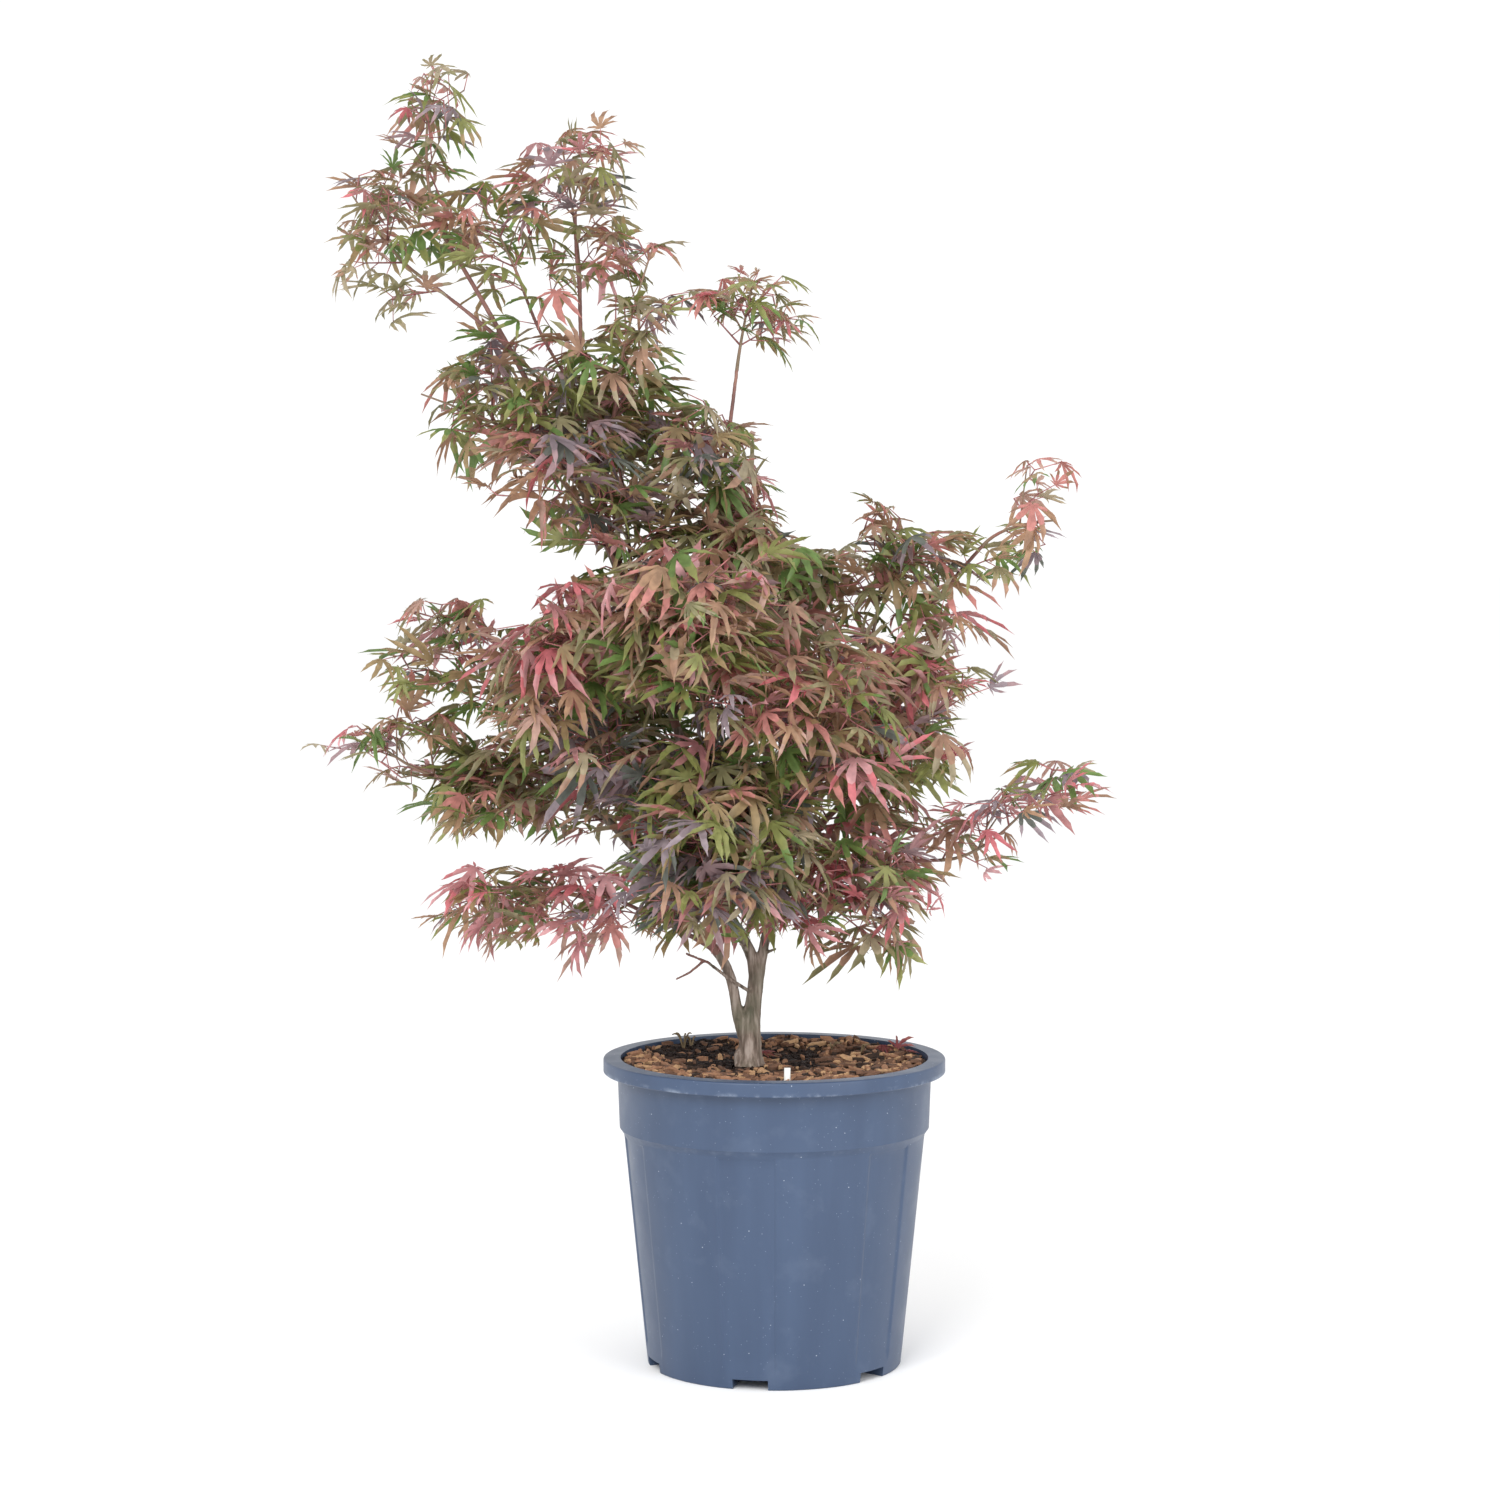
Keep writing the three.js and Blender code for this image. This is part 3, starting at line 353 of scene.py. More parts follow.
class Limb:
    """A bowed, tapering line from its start to its tip."""

    def __init__(self, start, tip, bow, base_radius, tip_radius, upright):
        middle = (start + tip) / 2 + bow
        self.line = Bezier(start, middle, tip)
        self.base_radius = base_radius
        self.tip_radius = tip_radius
        self.upright = upright

    def point(self, share):
        """A point of the middle line, which an upright limb holds nearer the trunk's axis."""
        point = self.line.point(share)
        above = point[2] - UPRIGHT_MIDDLE
        span = UPRIGHT_SPAN[1] if above > 0 else UPRIGHT_SPAN[0]
        if self.upright and abs(above) < span:
            point = point + vec(UPRIGHT_SHIFT * math.cos(math.pi / 2 * above / span) ** 2, 0, 0)
        return point

    def points(self):
        return np.array([self.point(share) for share in np.linspace(0, 1, LINE_STEPS)])

    def tangent(self, share):
        return self.line.tangent(share)

    def length(self):
        return self.line.length()

    def radius(self, share):
        return self.base_radius + (self.tip_radius - self.base_radius) * share


def make_limbs():
    limbs = {}
    for name, parent, share, tip, bow, base_radius, tip_radius in BOUGHS:
        foot = LIMB_FEET.get(parent)
        start = vec(foot) if foot else limbs[parent].line.point(share)
        upright = parent in UPRIGHT_FEET if foot else limbs[parent].upright
        limbs[name] = Limb(start, vec(tip), vec(bow), base_radius, tip_radius, upright)
    return limbs


# ------------------------------------------------------------------ meshes


class Batch:
    """Many closed or open forms that become one mesh."""

    def __init__(self):
        self.points = []
        self.faces = []
        self.tints = []
        self.count = 0

    def add(self, points, faces, tints=0):
        self.points.append(points)
        self.faces.append(faces + self.count)
        self.tints.append(np.broadcast_to(tints, len(faces)))
        self.count += len(points)

    def mesh(self, name, materials):
        points = np.concatenate(self.points) * MM
        faces = np.concatenate(self.faces)
        tints = np.concatenate(self.tints)
        mesh = bpy.data.meshes.new(name)
        mesh.vertices.add(len(points))
        mesh.vertices.foreach_set("co", points.astype(np.float32).ravel())
        mesh.loops.add(faces.size)
        mesh.loops.foreach_set("vertex_index", faces.astype(np.int32).ravel())
        mesh.polygons.add(len(faces))
        mesh.polygons.foreach_set("loop_start", np.arange(0, faces.size, 3, dtype=np.int32))
        mesh.polygons.foreach_set("material_index", tints.astype(np.int32))
        mesh.polygons.foreach_set("use_smooth", np.ones(len(faces), bool))
        for material in materials:
            mesh.materials.append(material)
        mesh.update(calc_edges=True)
        mesh.validate()
        return mesh


def batch_of(form):
    batch = Batch()
    batch.add(*form)
    return batch


def loose_object(name, batch, materials=()):
    made = bpy.data.objects.new(name, batch.mesh(name, materials))
    bpy.context.scene.collection.objects.link(made)
    return made


def place(name, batch, materials, slot, *replaced):
    """A batch as a piece of the plant, attached to its body, with the parts that it replaces
    hidden; the slot is not used.
    """
    piece = loose_object(name, batch, materials)
    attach(piece, BODY)
    if replaced:
        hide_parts(*replaced)
    return piece


def apply_modifiers(made):
    graph = bpy.context.evaluated_depsgraph_get()
    made.data = bpy.data.meshes.new_from_object(made.evaluated_get(graph))
    made.modifiers.clear()


def ring_walls(rings, sides):
    """The triangles between rings that follow one another, from the number of both."""
    side = np.arange(sides)
    first = np.arange(rings - 1)[:, None] * sides
    a = (first + side).ravel()
    b = (first + (side + 1) % sides).ravel()
    return np.concatenate([np.stack([a, b, b + sides], 1), np.stack([a, b + sides, a + sides], 1)])


def lidded(rings):
    """A closed form of rings with flat ends: its corners and triangles."""
    sides = len(rings[0])
    fan = np.arange(1, sides - 1)
    hub = np.zeros_like(fan)
    foot = np.stack([hub, fan + 1, fan], 1)
    top = np.stack([hub, fan, fan + 1], 1) + (len(rings) - 1) * sides
    return np.concatenate(rings), np.concatenate([ring_walls(len(rings), sides), foot, top])


def pointed(rings, foot, top):
    """A closed form of rings between two end points: its corners and triangles."""
    sides = len(rings[0])
    side = np.arange(sides)
    ahead = (side + 1) % sides
    points = np.concatenate([*rings, [foot, top]])
    below = np.stack([np.full(sides, len(points) - 2), ahead, side], 1)
    last = (len(rings) - 1) * sides
    above = np.stack([np.full(sides, len(points) - 1), side + last, ahead + last], 1)
    return points, np.concatenate([ring_walls(len(rings), sides), below, above])


def tube(points, radii, sides):
    """A closed tube along points: its corners and triangles."""
    points = np.asarray(points, float)
    last = len(points) - 1
    ahead = points[np.minimum(np.arange(last + 1) + 1, last)]
    behind = points[np.maximum(np.arange(last + 1) - 1, 0)]
    along = ahead - behind
    along /= np.linalg.norm(along, axis=1)[:, None]
    across = vec(1, 0, 0) if abs(along[0][0]) < 0.9 else vec(0, 1, 0)
    angles = np.arange(sides) * 2 * math.pi / sides
    rings = []
    for point, direction, radius in zip(points, along, radii):
        across = unit(across - direction * (across @ direction))
        beside = np.cross(direction, across)
        ring = np.outer(np.cos(angles), across) + np.outer(np.sin(angles), beside)
        rings.append(point + ring * radius)
    return lidded(rings)


def smooth_noise(points, scale, seed):
    """A value from about -1 to 1 for each point, from noise with features scale mm wide."""
    offset = Vector((seed * 17.3, seed * 5.1, seed * 9.7))
    return np.array([noise.noise(Vector(p) / scale + offset) for p in points])


# ------------------------------------------------------------------ materials


def linear(hex_colour):
    """A colour such as "5f708c" as linear red, green, blue and alpha."""
    channels = [int(hex_colour[i : i + 2], 16) / 255 for i in (0, 2, 4)]
    return [c / 12.92 if c <= 0.04045 else ((c + 0.055) / 1.055) ** 2.4 for c in channels] + [1.0]


# A mix node's sockets for colours, by number because their names repeat.
MIX_INPUTS = (0, 6, 7)
MIX_OUTPUT = 2


class Look:
    """A material whose nodes are added one by one."""

    def __init__(self, name, roughness, specular=0.5):
        self.material = bpy.data.materials.new(name)
        self.material.use_nodes = True
        self.nodes = self.material.node_tree.nodes
        self.links = self.material.node_tree.links
        self.shader = self.nodes["Principled BSDF"]
        self.shader.inputs["Roughness"].default_value = roughness
        self.shader.inputs["Specular IOR Level"].default_value = specular

    def node(self, kind, **inputs):
        made = self.nodes.new(kind)
        for name, value in inputs.items():
            made.inputs[name.replace("_", " ")].default_value = value
        return made

    def link(self, source, output, target, entry):
        self.links.new(source.outputs[output], target.inputs[entry])

    def coordinates(self, stretch=(1, 1, 1)):
        """The object's own coordinates, in metres, scaled along each axis."""
        source = self.node("ShaderNodeTexCoord")
        mapping = self.node("ShaderNodeMapping", Scale=stretch)
        self.link(source, "Object", mapping, "Vector")
        return mapping

    def noise(self, scale, detail=4.0, stretch=(1, 1, 1), roughness=0.55):
        made = self.node("ShaderNodeTexNoise", Scale=scale, Detail=detail, Roughness=roughness)
        self.link(self.coordinates(stretch), "Vector", made, "Vector")
        return made

    def ramp(self, source, output, stops):
        """Turns a value into colours, from (place, colour) stops."""
        made = self.node("ShaderNodeValToRGB")
        elements = made.color_ramp.elements
        while len(elements) < len(stops):
            elements.new(0.5)
        for element, (at, colour) in zip(elements, stops):
            element.position = at
            element.color = linear(colour) if isinstance(colour, str) else (*[colour] * 3, 1)
        self.link(source, output, made, "Fac")
        return made

    def mix(self, factor, first, second):
        """Two colour outputs or colours mixed by a node's output or a number."""
        made = self.node("ShaderNodeMix")
        made.data_type = "RGBA"
        for value, entry in zip((factor, first, second), MIX_INPUTS):
            if hasattr(value, "links"):
                self.links.new(value, made.inputs[entry])
            else:
                made.inputs[entry].default_value = value
        return made.outputs[MIX_OUTPUT]

    def product(self, first, second):
        made = self.mix(1.0, first, second)
        made.node.blend_type = "MULTIPLY"
        return made

    def colour(self, output):
        self.links.new(output, self.shader.inputs["Base Color"])

    def bump(self, source, output, distance, strength=0.5):
        """Bump of a height in millimetres."""
        made = self.node("ShaderNodeBump", Strength=strength, Distance=distance * MM)
        self.link(source, output, made, "Height")
        self.link(made, "Normal", self.shader, "Normal")


def leaf_look(name, colour):
    """A leaf's skin: a little darker and lighter from place to place, with a soft sheen."""
    look = Look(name, roughness=0.46, specular=0.5)
    patches = look.noise(90, detail=2)
    shade = look.ramp(patches, "Fac", [(0.34, 0.72), (0.66, 1.18)])
    look.colour(look.product(linear(colour), shade.outputs["Color"]))
    veins = look.noise(900, detail=2)
    look.bump(veins, "Fac", 0.15, 0.35)
    glow = look.node("ShaderNodeBsdfTranslucent", Color=linear(colour))
    mixed = look.node("ShaderNodeMixShader", Fac=LEAF_GLOW)
    look.links.new(look.shader.outputs["BSDF"], mixed.inputs[1])
    look.links.new(glow.outputs["BSDF"], mixed.inputs[2])
    look.links.new(mixed.outputs["Shader"], look.nodes["Material Output"].inputs["Surface"])
    return look.material


def plain_look(name, colours, scale, roughness, bump, stretch=(1, 1, 1)):
    """Colours blended by noise with features 1/scale metres wide, and bump in millimetres."""
    look = Look(name, roughness, specular=0.3)
    pattern = look.noise(scale, stretch=stretch)
    stops = [(0.3 + 0.4 * i / (len(colours) - 1), c) for i, c in enumerate(colours)]
    look.colour(look.ramp(pattern, "Fac", stops).outputs["Color"])
    look.bump(pattern, "Fac", bump, 0.8)
    return look.material


def scuffs(look):
    """Where the lower edges of the lip and the collar are rubbed pale."""
    height = look.node("ShaderNodeSeparateXYZ")
    look.link(look.coordinates(), "Vector", height, "Vector")
    lip_foot = (POT_HEIGHT - LIP_DROP) * MM
    collar_foot = COLLAR_FOOT * MM
    stops = [
        (collar_foot - 0.004, 0.0),
        (collar_foot - 0.001, 0.5),
        (collar_foot + 0.001, 0.0),
        (lip_foot - 0.001, 0.0),
        (lip_foot + 0.0008, 1.0),
        (lip_foot + 0.003, 0.0),
    ]
    edges = look.ramp(height, "Z", stops).outputs["Color"]
    rubbed = look.ramp(look.noise(60, detail=5), "Fac", [(0.5, 0.0), (0.66, 0.4)])
    return look.product(edges, rubbed.outputs["Color"])


# The cells per metre of coarse and fine specks, where they fade, and their colour.
POT_SPECKS = (
    (75.0, [(0.03, 0.8), (0.045, 0.0)], "b9c2cf"),
    (190.0, [(0.05, 0.6), (0.08, 0.0)], "93a2b8"),
)


def pot_look():
    """Moulded plastic: soft vertical streaks, pale dust, small white specks and scuffs."""
    look = Look("pot_plastic", roughness=0.38, specular=0.45)
    streaks = look.noise(9, detail=3, stretch=(3, 3, 0.25))
    body = look.ramp(streaks, "Fac", [(0.3, "364660"), (0.7, "3d4e69")]).outputs["Color"]
    dust = look.noise(26, detail=6)
    veil = look.ramp(dust, "Fac", [(0.56, 0.0), (0.85, 0.14)]).outputs["Color"]
    body = look.mix(veil, body, linear("8b97aa"))
    for scale, stops, colour in POT_SPECKS:
        cells = look.node("ShaderNodeTexVoronoi", Scale=scale)
        look.link(look.coordinates(), "Vector", cells, "Vector")
        specks = look.ramp(cells, "Distance", stops).outputs["Color"]
        body = look.mix(specks, body, linear(colour))
    look.colour(look.mix(scuffs(look), body, linear("aab6c6")))
    dull = look.ramp(dust, "Fac", [(0.3, 0.34), (0.75, 0.5)])
    look.link(dull, "Color", look.shader, "Roughness")
    grain = look.noise(700, detail=3)
    look.bump(grain, "Fac", 0.12, 0.25)
    return look.material



# ------------------------------------------------------------------ leaves


def leaf_form(random):
    """A leaf of seven toothed lobes whose middle lobe is 1 long and lies along +X.

    The lobes join at the origin, +Z is the upper side, and the ends hang down. Returns the
    corners, the triangles, and for each triangle whether it lies in a lobe's end.
    """
    fold = random.uniform(*LEAF_FOLD)
    count = len(LOBE_TURNS)
    strays = random.uniform(-LOBE_STRAY, LOBE_STRAY, count)
    turns = np.radians(np.array(LOBE_TURNS) * fold + strays)
    lengths = np.array(LOBE_LENGTHS) * random.uniform(*LOBE_SIZES, count)
    droop = random.uniform(*LEAF_DROOP)
    points = [(0.0, 0.0)]
    lift = [0.0]
    notches = []
    between = (turns[1:] + turns[:-1]) / 2
    edges = [turns[0] - OUTER_EDGE, *between, turns[-1] + OUTER_EDGE]
    for i, angle in enumerate(edges):
        beside = lengths[max(i - 1, 0) : i + 1]
        radius = NOTCH * min(beside) * random.uniform(*NOTCH_SIZES)
        notches.append(len(points))
        points.append((radius * math.cos(angle), radius * math.sin(angle)))
        lift.append(CREASE)
    faces = []
    ends = []
    for i, (turn, length) in enumerate(zip(turns, lengths)):
        bend = random.uniform(-LOBE_BEND, LOBE_BEND)
        width = LOBE_WIDTH * length * random.uniform(*LOBE_WIDTHS)
        curl = random.uniform(*LOBE_CURL) * length
        middle = len(points)
        reach = NOTCH * length
        points.append((reach * math.cos(turn), reach * math.sin(turn)))
        lift.append(-CREASE)
        left, right = notches[i], notches[i + 1]
        faces += [(0, left, middle), (0, middle, right)]
        ends += [False, False]
        small = i in (0, count - 1)
        stations = SMALL_LOBE_STATIONS if small else LOBE_STATIONS
        shapes = SMALL_LOBE_SHAPE if small else LOBE_SHAPE
        for k, (share, shape) in enumerate(zip(stations, shapes)):
            heading = turn + bend * share * share
            along = vec(math.cos(heading), math.sin(heading))
            side = vec(-along[1], along[0])
            tooth = k % 2 == 0  # and a notch between teeth
            half = width * shape * (1 + TOOTH if tooth else 1 - TOOTH)
            spine = along * share * length
            edge = spine + along * (length * TOOTH_LEAN if tooth else 0)
            points += [tuple(edge - side * half), tuple(spine), tuple(edge + side * half)]
            sunk = curl * share**2
            raised = half * LOBE_FOLD - sunk
            lift += [raised, -sunk, raised]
            new_left = len(points) - 3
            faces += [
                (left, new_left, new_left + 1),
                (left, new_left + 1, middle),
                (middle, new_left + 1, new_left + 2),
                (middle, new_left + 2, right),
            ]
            ends += [share > LOBE_END] * 4
            left, middle, right = new_left, new_left + 1, new_left + 2
        heading = turn + bend
        points.append((length * math.cos(heading), length * math.sin(heading)))
        lift.append(-curl)
        tip = len(points) - 1
        faces += [(left, tip, middle), (middle, tip, right)]
        ends += [True, True]
    flat = np.array(points)
    reach = np.hypot(flat[:, 0], flat[:, 1])
    height = np.array(lift) - droop * reach**1.5
    return np.column_stack([flat, height]), np.array(faces), np.array(ends)


# ------------------------------------------------------------------ foliage


def first_draw(seed):
    """The first number that the source's seeded rule gives, from 0 to 1."""
    mask = 0xFFFFFFFF
    state = (seed + 0x6D2B79F5) & mask
    t = ((state ^ (state >> 15)) * (state | 1)) & mask
    t ^= (t + ((t ^ (t >> 7)) * (t | 61) & mask)) & mask
    return ((t ^ (t >> 14)) & mask) / 4294967296


class Mass:
    """One mass of foliage in its own space, an ellipsoid."""

    def __init__(self, row, index, limbs):
        self.name, bough, middle, half, self.leaf_share, self.tint, self.leafiness = row
        self.index = index
        self.limb = limbs[bough]
        self.middle = vec(middle)
        self.half = vec(half) * SPREAD
        self.random = np.random.default_rng(100 + index)
        self.first_turn = first_draw(100 + index) * math.pi
        self.stem = self.stem_line()

    def depth(self, point):
        return np.linalg.norm((point - self.middle) / self.half, axis=-1)

    def room(self, start, direction):
        """How far it is from a point to the border in a direction."""
        f = (start - self.middle) / self.half
        d = direction / self.half
        a, b, c = d @ d, 2 * f @ d, f @ f - 1
        inside = b * b - 4 * a * c
        if c > 0 or inside < 0:
            return 0.0
        return (-b + math.sqrt(inside)) / (2 * a)

    def stem_line(self):
        tip = self.limb.line.point(1)
        along = self.limb.line.tangent(1)
        start = tip + along * GAP
        onward = unit(unit(self.middle - tip) + UP * STEM_LIFT)
        reach = self.room(self.middle, onward) - LEAF_LOBE * self.leaf_share * 0.5
        end = self.middle + onward * max(reach, 4)
        lead = start + along * np.linalg.norm(end - start) * 0.35
        return Bezier(start, lead, end)


class Foliage:
    """Grows every mass and gathers the leaves by tint, and the twigs and leaf stalks."""

    def __init__(self, limbs):
        self.limbs = list(limbs.values())
        self.masses = [Mass(row, i, limbs) for i, row in enumerate(MASSES)]
        self.middles = np.array([mass.middle for mass in self.masses])
        self.halves = np.array([mass.half for mass in self.masses])
        self.leaves = {tint: Batch() for tint in TINTS}
        self.twigs = Batch()
        self.shoots = Batch()
        self.stalks = Batch()
        random = np.random.default_rng(7)
        self.forms = [leaf_form(random) for _ in range(LEAF_FORMS)]
        self.wood = np.concatenate([limb.points() for limb in self.limbs])
        self.box_low = vec(cad_low) / MM - BOX_MARGIN
        self.box_high = vec(cad_high) / MM + BOX_MARGIN

    def holds(self, mass, points, reach=1.0):
        """Whether points are in the mass's space, and no nearer the middle of another."""
        points = np.atleast_2d(points)
        offsets = (points[:, None, :] - self.middles[None]) / self.halves[None]
        depths = np.linalg.norm(offsets, axis=2)
        own = depths[:, mass.index].copy()
        if own.max() > reach:
            return False
        depths[:, mass.index] = 9
        return bool((depths.min(axis=1) > own - CELL_OVERLAP).all())

    def has_room(self, corners, reach):
        """Whether a leaf lies in the masses' spaces, near the solids' box, and out of openings."""
        if (corners < self.box_low).any() or (corners > self.box_high).any():
            return False
        offsets = (corners[:, None, :] - self.middles[None]) / self.halves[None]
        outermost = np.linalg.norm(offsets, axis=2).min(axis=1).max()
        return outermost <= reach and not covers_opening(corners)

    def grow_all(self):
        for mass in self.masses:
            self.grow(mass)
        self.grow_from_limbs()

    def spray_tint(self, mass, at):
        """A spray deep in the crown or under it is greener than one that is out in the light."""
        shares = dict(SHARES[mass.tint])
        under = max(0.0, (mass.middle - at)[2] / mass.half[2])
        shade = max(0.0, SHADE_DEPTH - mass.depth(at)) + UNDER_SHADE * under
        shares["green"] += SHADE_GREEN * shade
        names = list(shares)
        weights = np.array([shares[name] for name in names])
        return names[mass.random.choice(len(names), p=weights / weights.sum())]

    def add_leaf(self, mass, root, heading, tint, reach=LEAF_SPREAD):
        """Adds a leaf on its stalk where there is room, and says whether it did."""
        random = mass.random
        stalk = STALK_LENGTH * random.uniform(*STALK_SIZES) * mass.leaf_share**0.5
        size = LEAF_LENGTH * mass.leaf_share**0.5 * random.uniform(*LEAF_SIZES)
        outward = unit(heading * (1, 1, STALK_LEVEL) + UP * random.uniform(*STALK_RISE))
        middle = root + outward * stalk * STALK_BEND
        bent = unit(outward - UP * random.uniform(0.0, STALK_SAG))
        centre = middle + bent * stalk * (1 - STALK_BEND)
        level = unit(heading * (1, 1, LEAF_LEVEL) + random.uniform(-LEAF_SWING, LEAF_SWING, 3))
        along = unit(level - UP * LEAF_HANG * random.uniform(*LEAF_HANGS))
        face = UP + level * LEAF_TILT + random.uniform(-LEAF_ROLL, LEAF_ROLL, 3)
        across = unit(np.cross(face, along))
        normal = np.cross(along, across)
        form, faces, ends = self.forms[random.integers(LEAF_FORMS)]
        if not self.holds(mass, centre, reach * LEAF_ROOM):
            return False
        corners = centre + (form * size) @ np.array([along, across, normal])
        if not self.has_room(corners, reach):
            corners = centre + (corners - centre) * SMALLER_LEAF
        if not self.has_room(corners, reach):
            return False
        if np.linalg.norm(self.wood - centre, axis=1).min() < LEAF_CLEARANCE:
            return False
        if random.random() < LEAF_STRAY:
            tint = self.spray_tint(mass, centre)
        body, end = random.choice(len(TINTS[tint]), 2)
        self.leaves[tint].add(corners, faces, np.where(ends, end, body))
        self.stalks.add(*tube([root - outward * STALK_ROOT, centre], STALK_RADII, 3))
        return True

    def add_pair(self, mass, node, along, turn, opening, tint, reach=LEAF_SPREAD):
        """Two leaves opposite each other at a node, opening away from the shoot by degrees."""
        side = sideways(along, turn)
        bend = math.radians(opening + mass.random.uniform(-OPENING_STRAY, OPENING_STRAY))
        grown = False
        for way in (1, -1):
            heading = along * math.cos(bend) + side * way * math.sin(bend)
            grown |= self.add_leaf(mass, node, heading, tint, reach)
        return grown

    def fitted(self, mass, node, heading, length, reach):
        """A length, shortened until its end lies in the mass's space."""
        while length > SHORTEST_TWIG and not self.holds(mass, node + heading * length, reach):
            length -= LENGTH_STEP
        return length

    def add_shoot(self, mass, node, heading, length, radius, tint, reach=LEAF_SPREAD):
        """A leafy shoot: pairs of leaves along it, each turned a quarter, and a pair at its end."""
        length = self.fitted(mass, node, heading, length, reach * SHOOT_ROOM)
        if length <= SHORTEST_TWIG:
            return self.add_leaf(mass, node, heading, tint, reach)
        turn = mass.random.uniform(0, math.pi)
        count = max(1, round(length / LEAF_SPACING))
        leafy_share = 0
        for i in range(1, count + 1):
            opening = PAIR_OPENING if i < count else SHOOT_END_OPENING
            at = node + heading * length * i / count
            if covers_opening(at[None]):
                break
            grown = self.add_pair(mass, at, heading, turn, opening, tint, reach)
            if i == count and mass.random.random() < END_LEAF_SHARE:
                grown |= self.add_leaf(mass, at, heading, tint, reach)
            if grown:
                leafy_share = i / count
            turn += math.pi / 2
        if leafy_share:
            end = node + heading * length * leafy_share
            line = [node - heading * 0.5, (node + end) / 2, end + heading * 0.5]
            self.shoots.add(*tube(line, [radius, *SHOOT_RADII], 4))
        return leafy_share > 0

    def add_twig(self, mass, node, heading, radius):
        """A twig with shoots in opposite pairs, each pair turned a quarter, and a leafy end."""
        length = min(mass.room(node, heading) * mass.random.uniform(*TWIG_SHARES), LONGEST_TWIG)
        length = self.fitted(mass, node, heading, length, TWIG_ROOM)
        tint = self.spray_tint(mass, node + heading * max(length, 0))
        if length <= SHOOT_LENGTHS[1]:
            self.add_shoot(mass, node, heading, length, radius * 0.7, tint)
            return
        bow = UP * length * TWIG_BOW

        def at(share):
            return node + heading * length * share + bow * share * (1 - share)

        turn = mass.random.uniform(0, math.pi)
        count = max(1, round(length / SHOOT_SPACING))
        leafy_share = 0
        for i in range(1, count + 1):
            share = (i - 0.35) / count
            if covers_opening(at(share)[None]):
                break
            grown = False
            side = sideways(heading, turn + i * math.pi / 2)
            for way in (1, -1):
                if mass.random.random() > mass.leafiness:
                    continue
                outward = unit(heading * SHOOT_LEAN + side * way * SHOOT_SPREAD + UP * SHOOT_LIFT)
                reach = mass.random.uniform(*SHOOT_LENGTHS) * (1.1 - 0.5 * share)
                grown |= self.add_shoot(mass, at(share), outward, reach, radius * 0.5, tint)
            if grown:
                leafy_share = share
        else:
            grown = self.add_pair(mass, at(1), heading, turn, TWIG_END_OPENING, tint)
            grown |= self.add_leaf(mass, at(1), heading, tint)
            if grown:
                leafy_share = 1
        if leafy_share:
            points = [node - heading * 0.8, *[at(leafy_share * k / 3) for k in (1, 2, 3)]]
            self.twigs.add(*tube(points, [radius, radius * 0.8, radius * 0.65, 0.8], 5))

    def grow_from_limbs(self):
        """Pairs of leafy shoots from the limbs and stems, where they near a mass's space."""
        for limb in self.limbs:
            self.grow_along(limb, 2)
        for mass in self.masses:
            self.grow_along(mass.stem, 0)

    def grow_along(self, line, first):
        count = round(line.length() / LIMB_SHOOT_SPACING)
        for i in range(first, count):
            node, along = line.point(i / count), line.tangent(i / count)
            depths = np.linalg.norm((node - self.middles) / self.halves, axis=1)
            mass = self.masses[int(depths.argmin())]
            if depths.min() > LIMB_SHOOT_REACH:
                continue
            tint = self.spray_tint(mass, node)
            side = sideways(along, i * math.pi / 2 + 0.5)
            for way in (1, -1):
                if mass.random.random() > mass.leafiness:
                    continue
                heading = unit(along * TWIG_LEAN + side * way + UP * TWIG_LIFT * 0.6)
                length = mass.random.uniform(*LIMB_SHOOT_LENGTHS)
                self.add_shoot(mass, node, heading, length, 1.1, tint, LIMB_SHOOT_REACH)

    def grow(self, mass):
        """The stem, with twigs in opposite pairs, each pair turned a quarter."""
        line = mass.stem
        end_share = share_before_opening(line)
        shares = np.linspace(0, end_share, 10)
        points = [line.point(0) - line.tangent(0) * 3, *[line.point(s) for s in shares]]
        base = mass.limb.tip_radius
        radii = [base * 0.97, *(base + (STEM_TIP_RADIUS - base) * shares)]
        self.twigs.add(*tube(points, radii, 7))
        count = max(2, round(line.length() / NODE_SPACING))
        tip, onward = line.point(end_share), line.tangent(end_share)
        tint = self.spray_tint(mass, tip)
        rest = max(mass.room(tip, onward) * STEM_END_SHARE, SHORTEST_TWIG + 6)
        self.add_shoot(mass, tip, onward, rest, STEM_TIP_RADIUS, tint)
        for i in range(count, 0, -1):
            share = min(i / count, LAST_NODE)
            if share > end_share:
                continue
            along = line.tangent(share)
            side = sideways(along, mass.first_turn + i * math.pi / 2)
            radius = (base + (STEM_TIP_RADIUS - base) * share) * TWIG_TAPER
            for way in (1, -1):
                heading = unit(along * TWIG_LEAN + side * way + UP * TWIG_LIFT)
                self.add_twig(mass, line.point(share), heading, radius)


def covers_opening(points):
    """Whether too much of a leaf would be seen in one of the openings from the front."""
    camera = vec(CAMERA_PLACE)
    nearer = camera[1] / (camera[1] - points[:, 1])
    seen = camera + (points - camera) * nearer[:, None]
    for x, z, half_x, half_z in OPENINGS:
        inside = ((seen[:, 0] - x) / half_x) ** 2 + ((seen[:, 2] - z) / half_z) ** 2 < 1
        if inside.mean() > OPEN_SHARE:
            return True
    return False


def share_before_opening(line):
    """How much of a stem grows, where its end would stand bare in an opening."""
    share = 1.0
    while share > 0.5 and covers_opening(line.point(share)[None]):
        share -= 0.1
    return share


def sideways(along, turn):
    """A direction across a shoot, turned about it in radians from the level one."""
    across = np.cross(along, UP)
    size = np.linalg.norm(across)
    return turned(across / size if size > 0.05 else vec(1, 0, 0), along, turn)


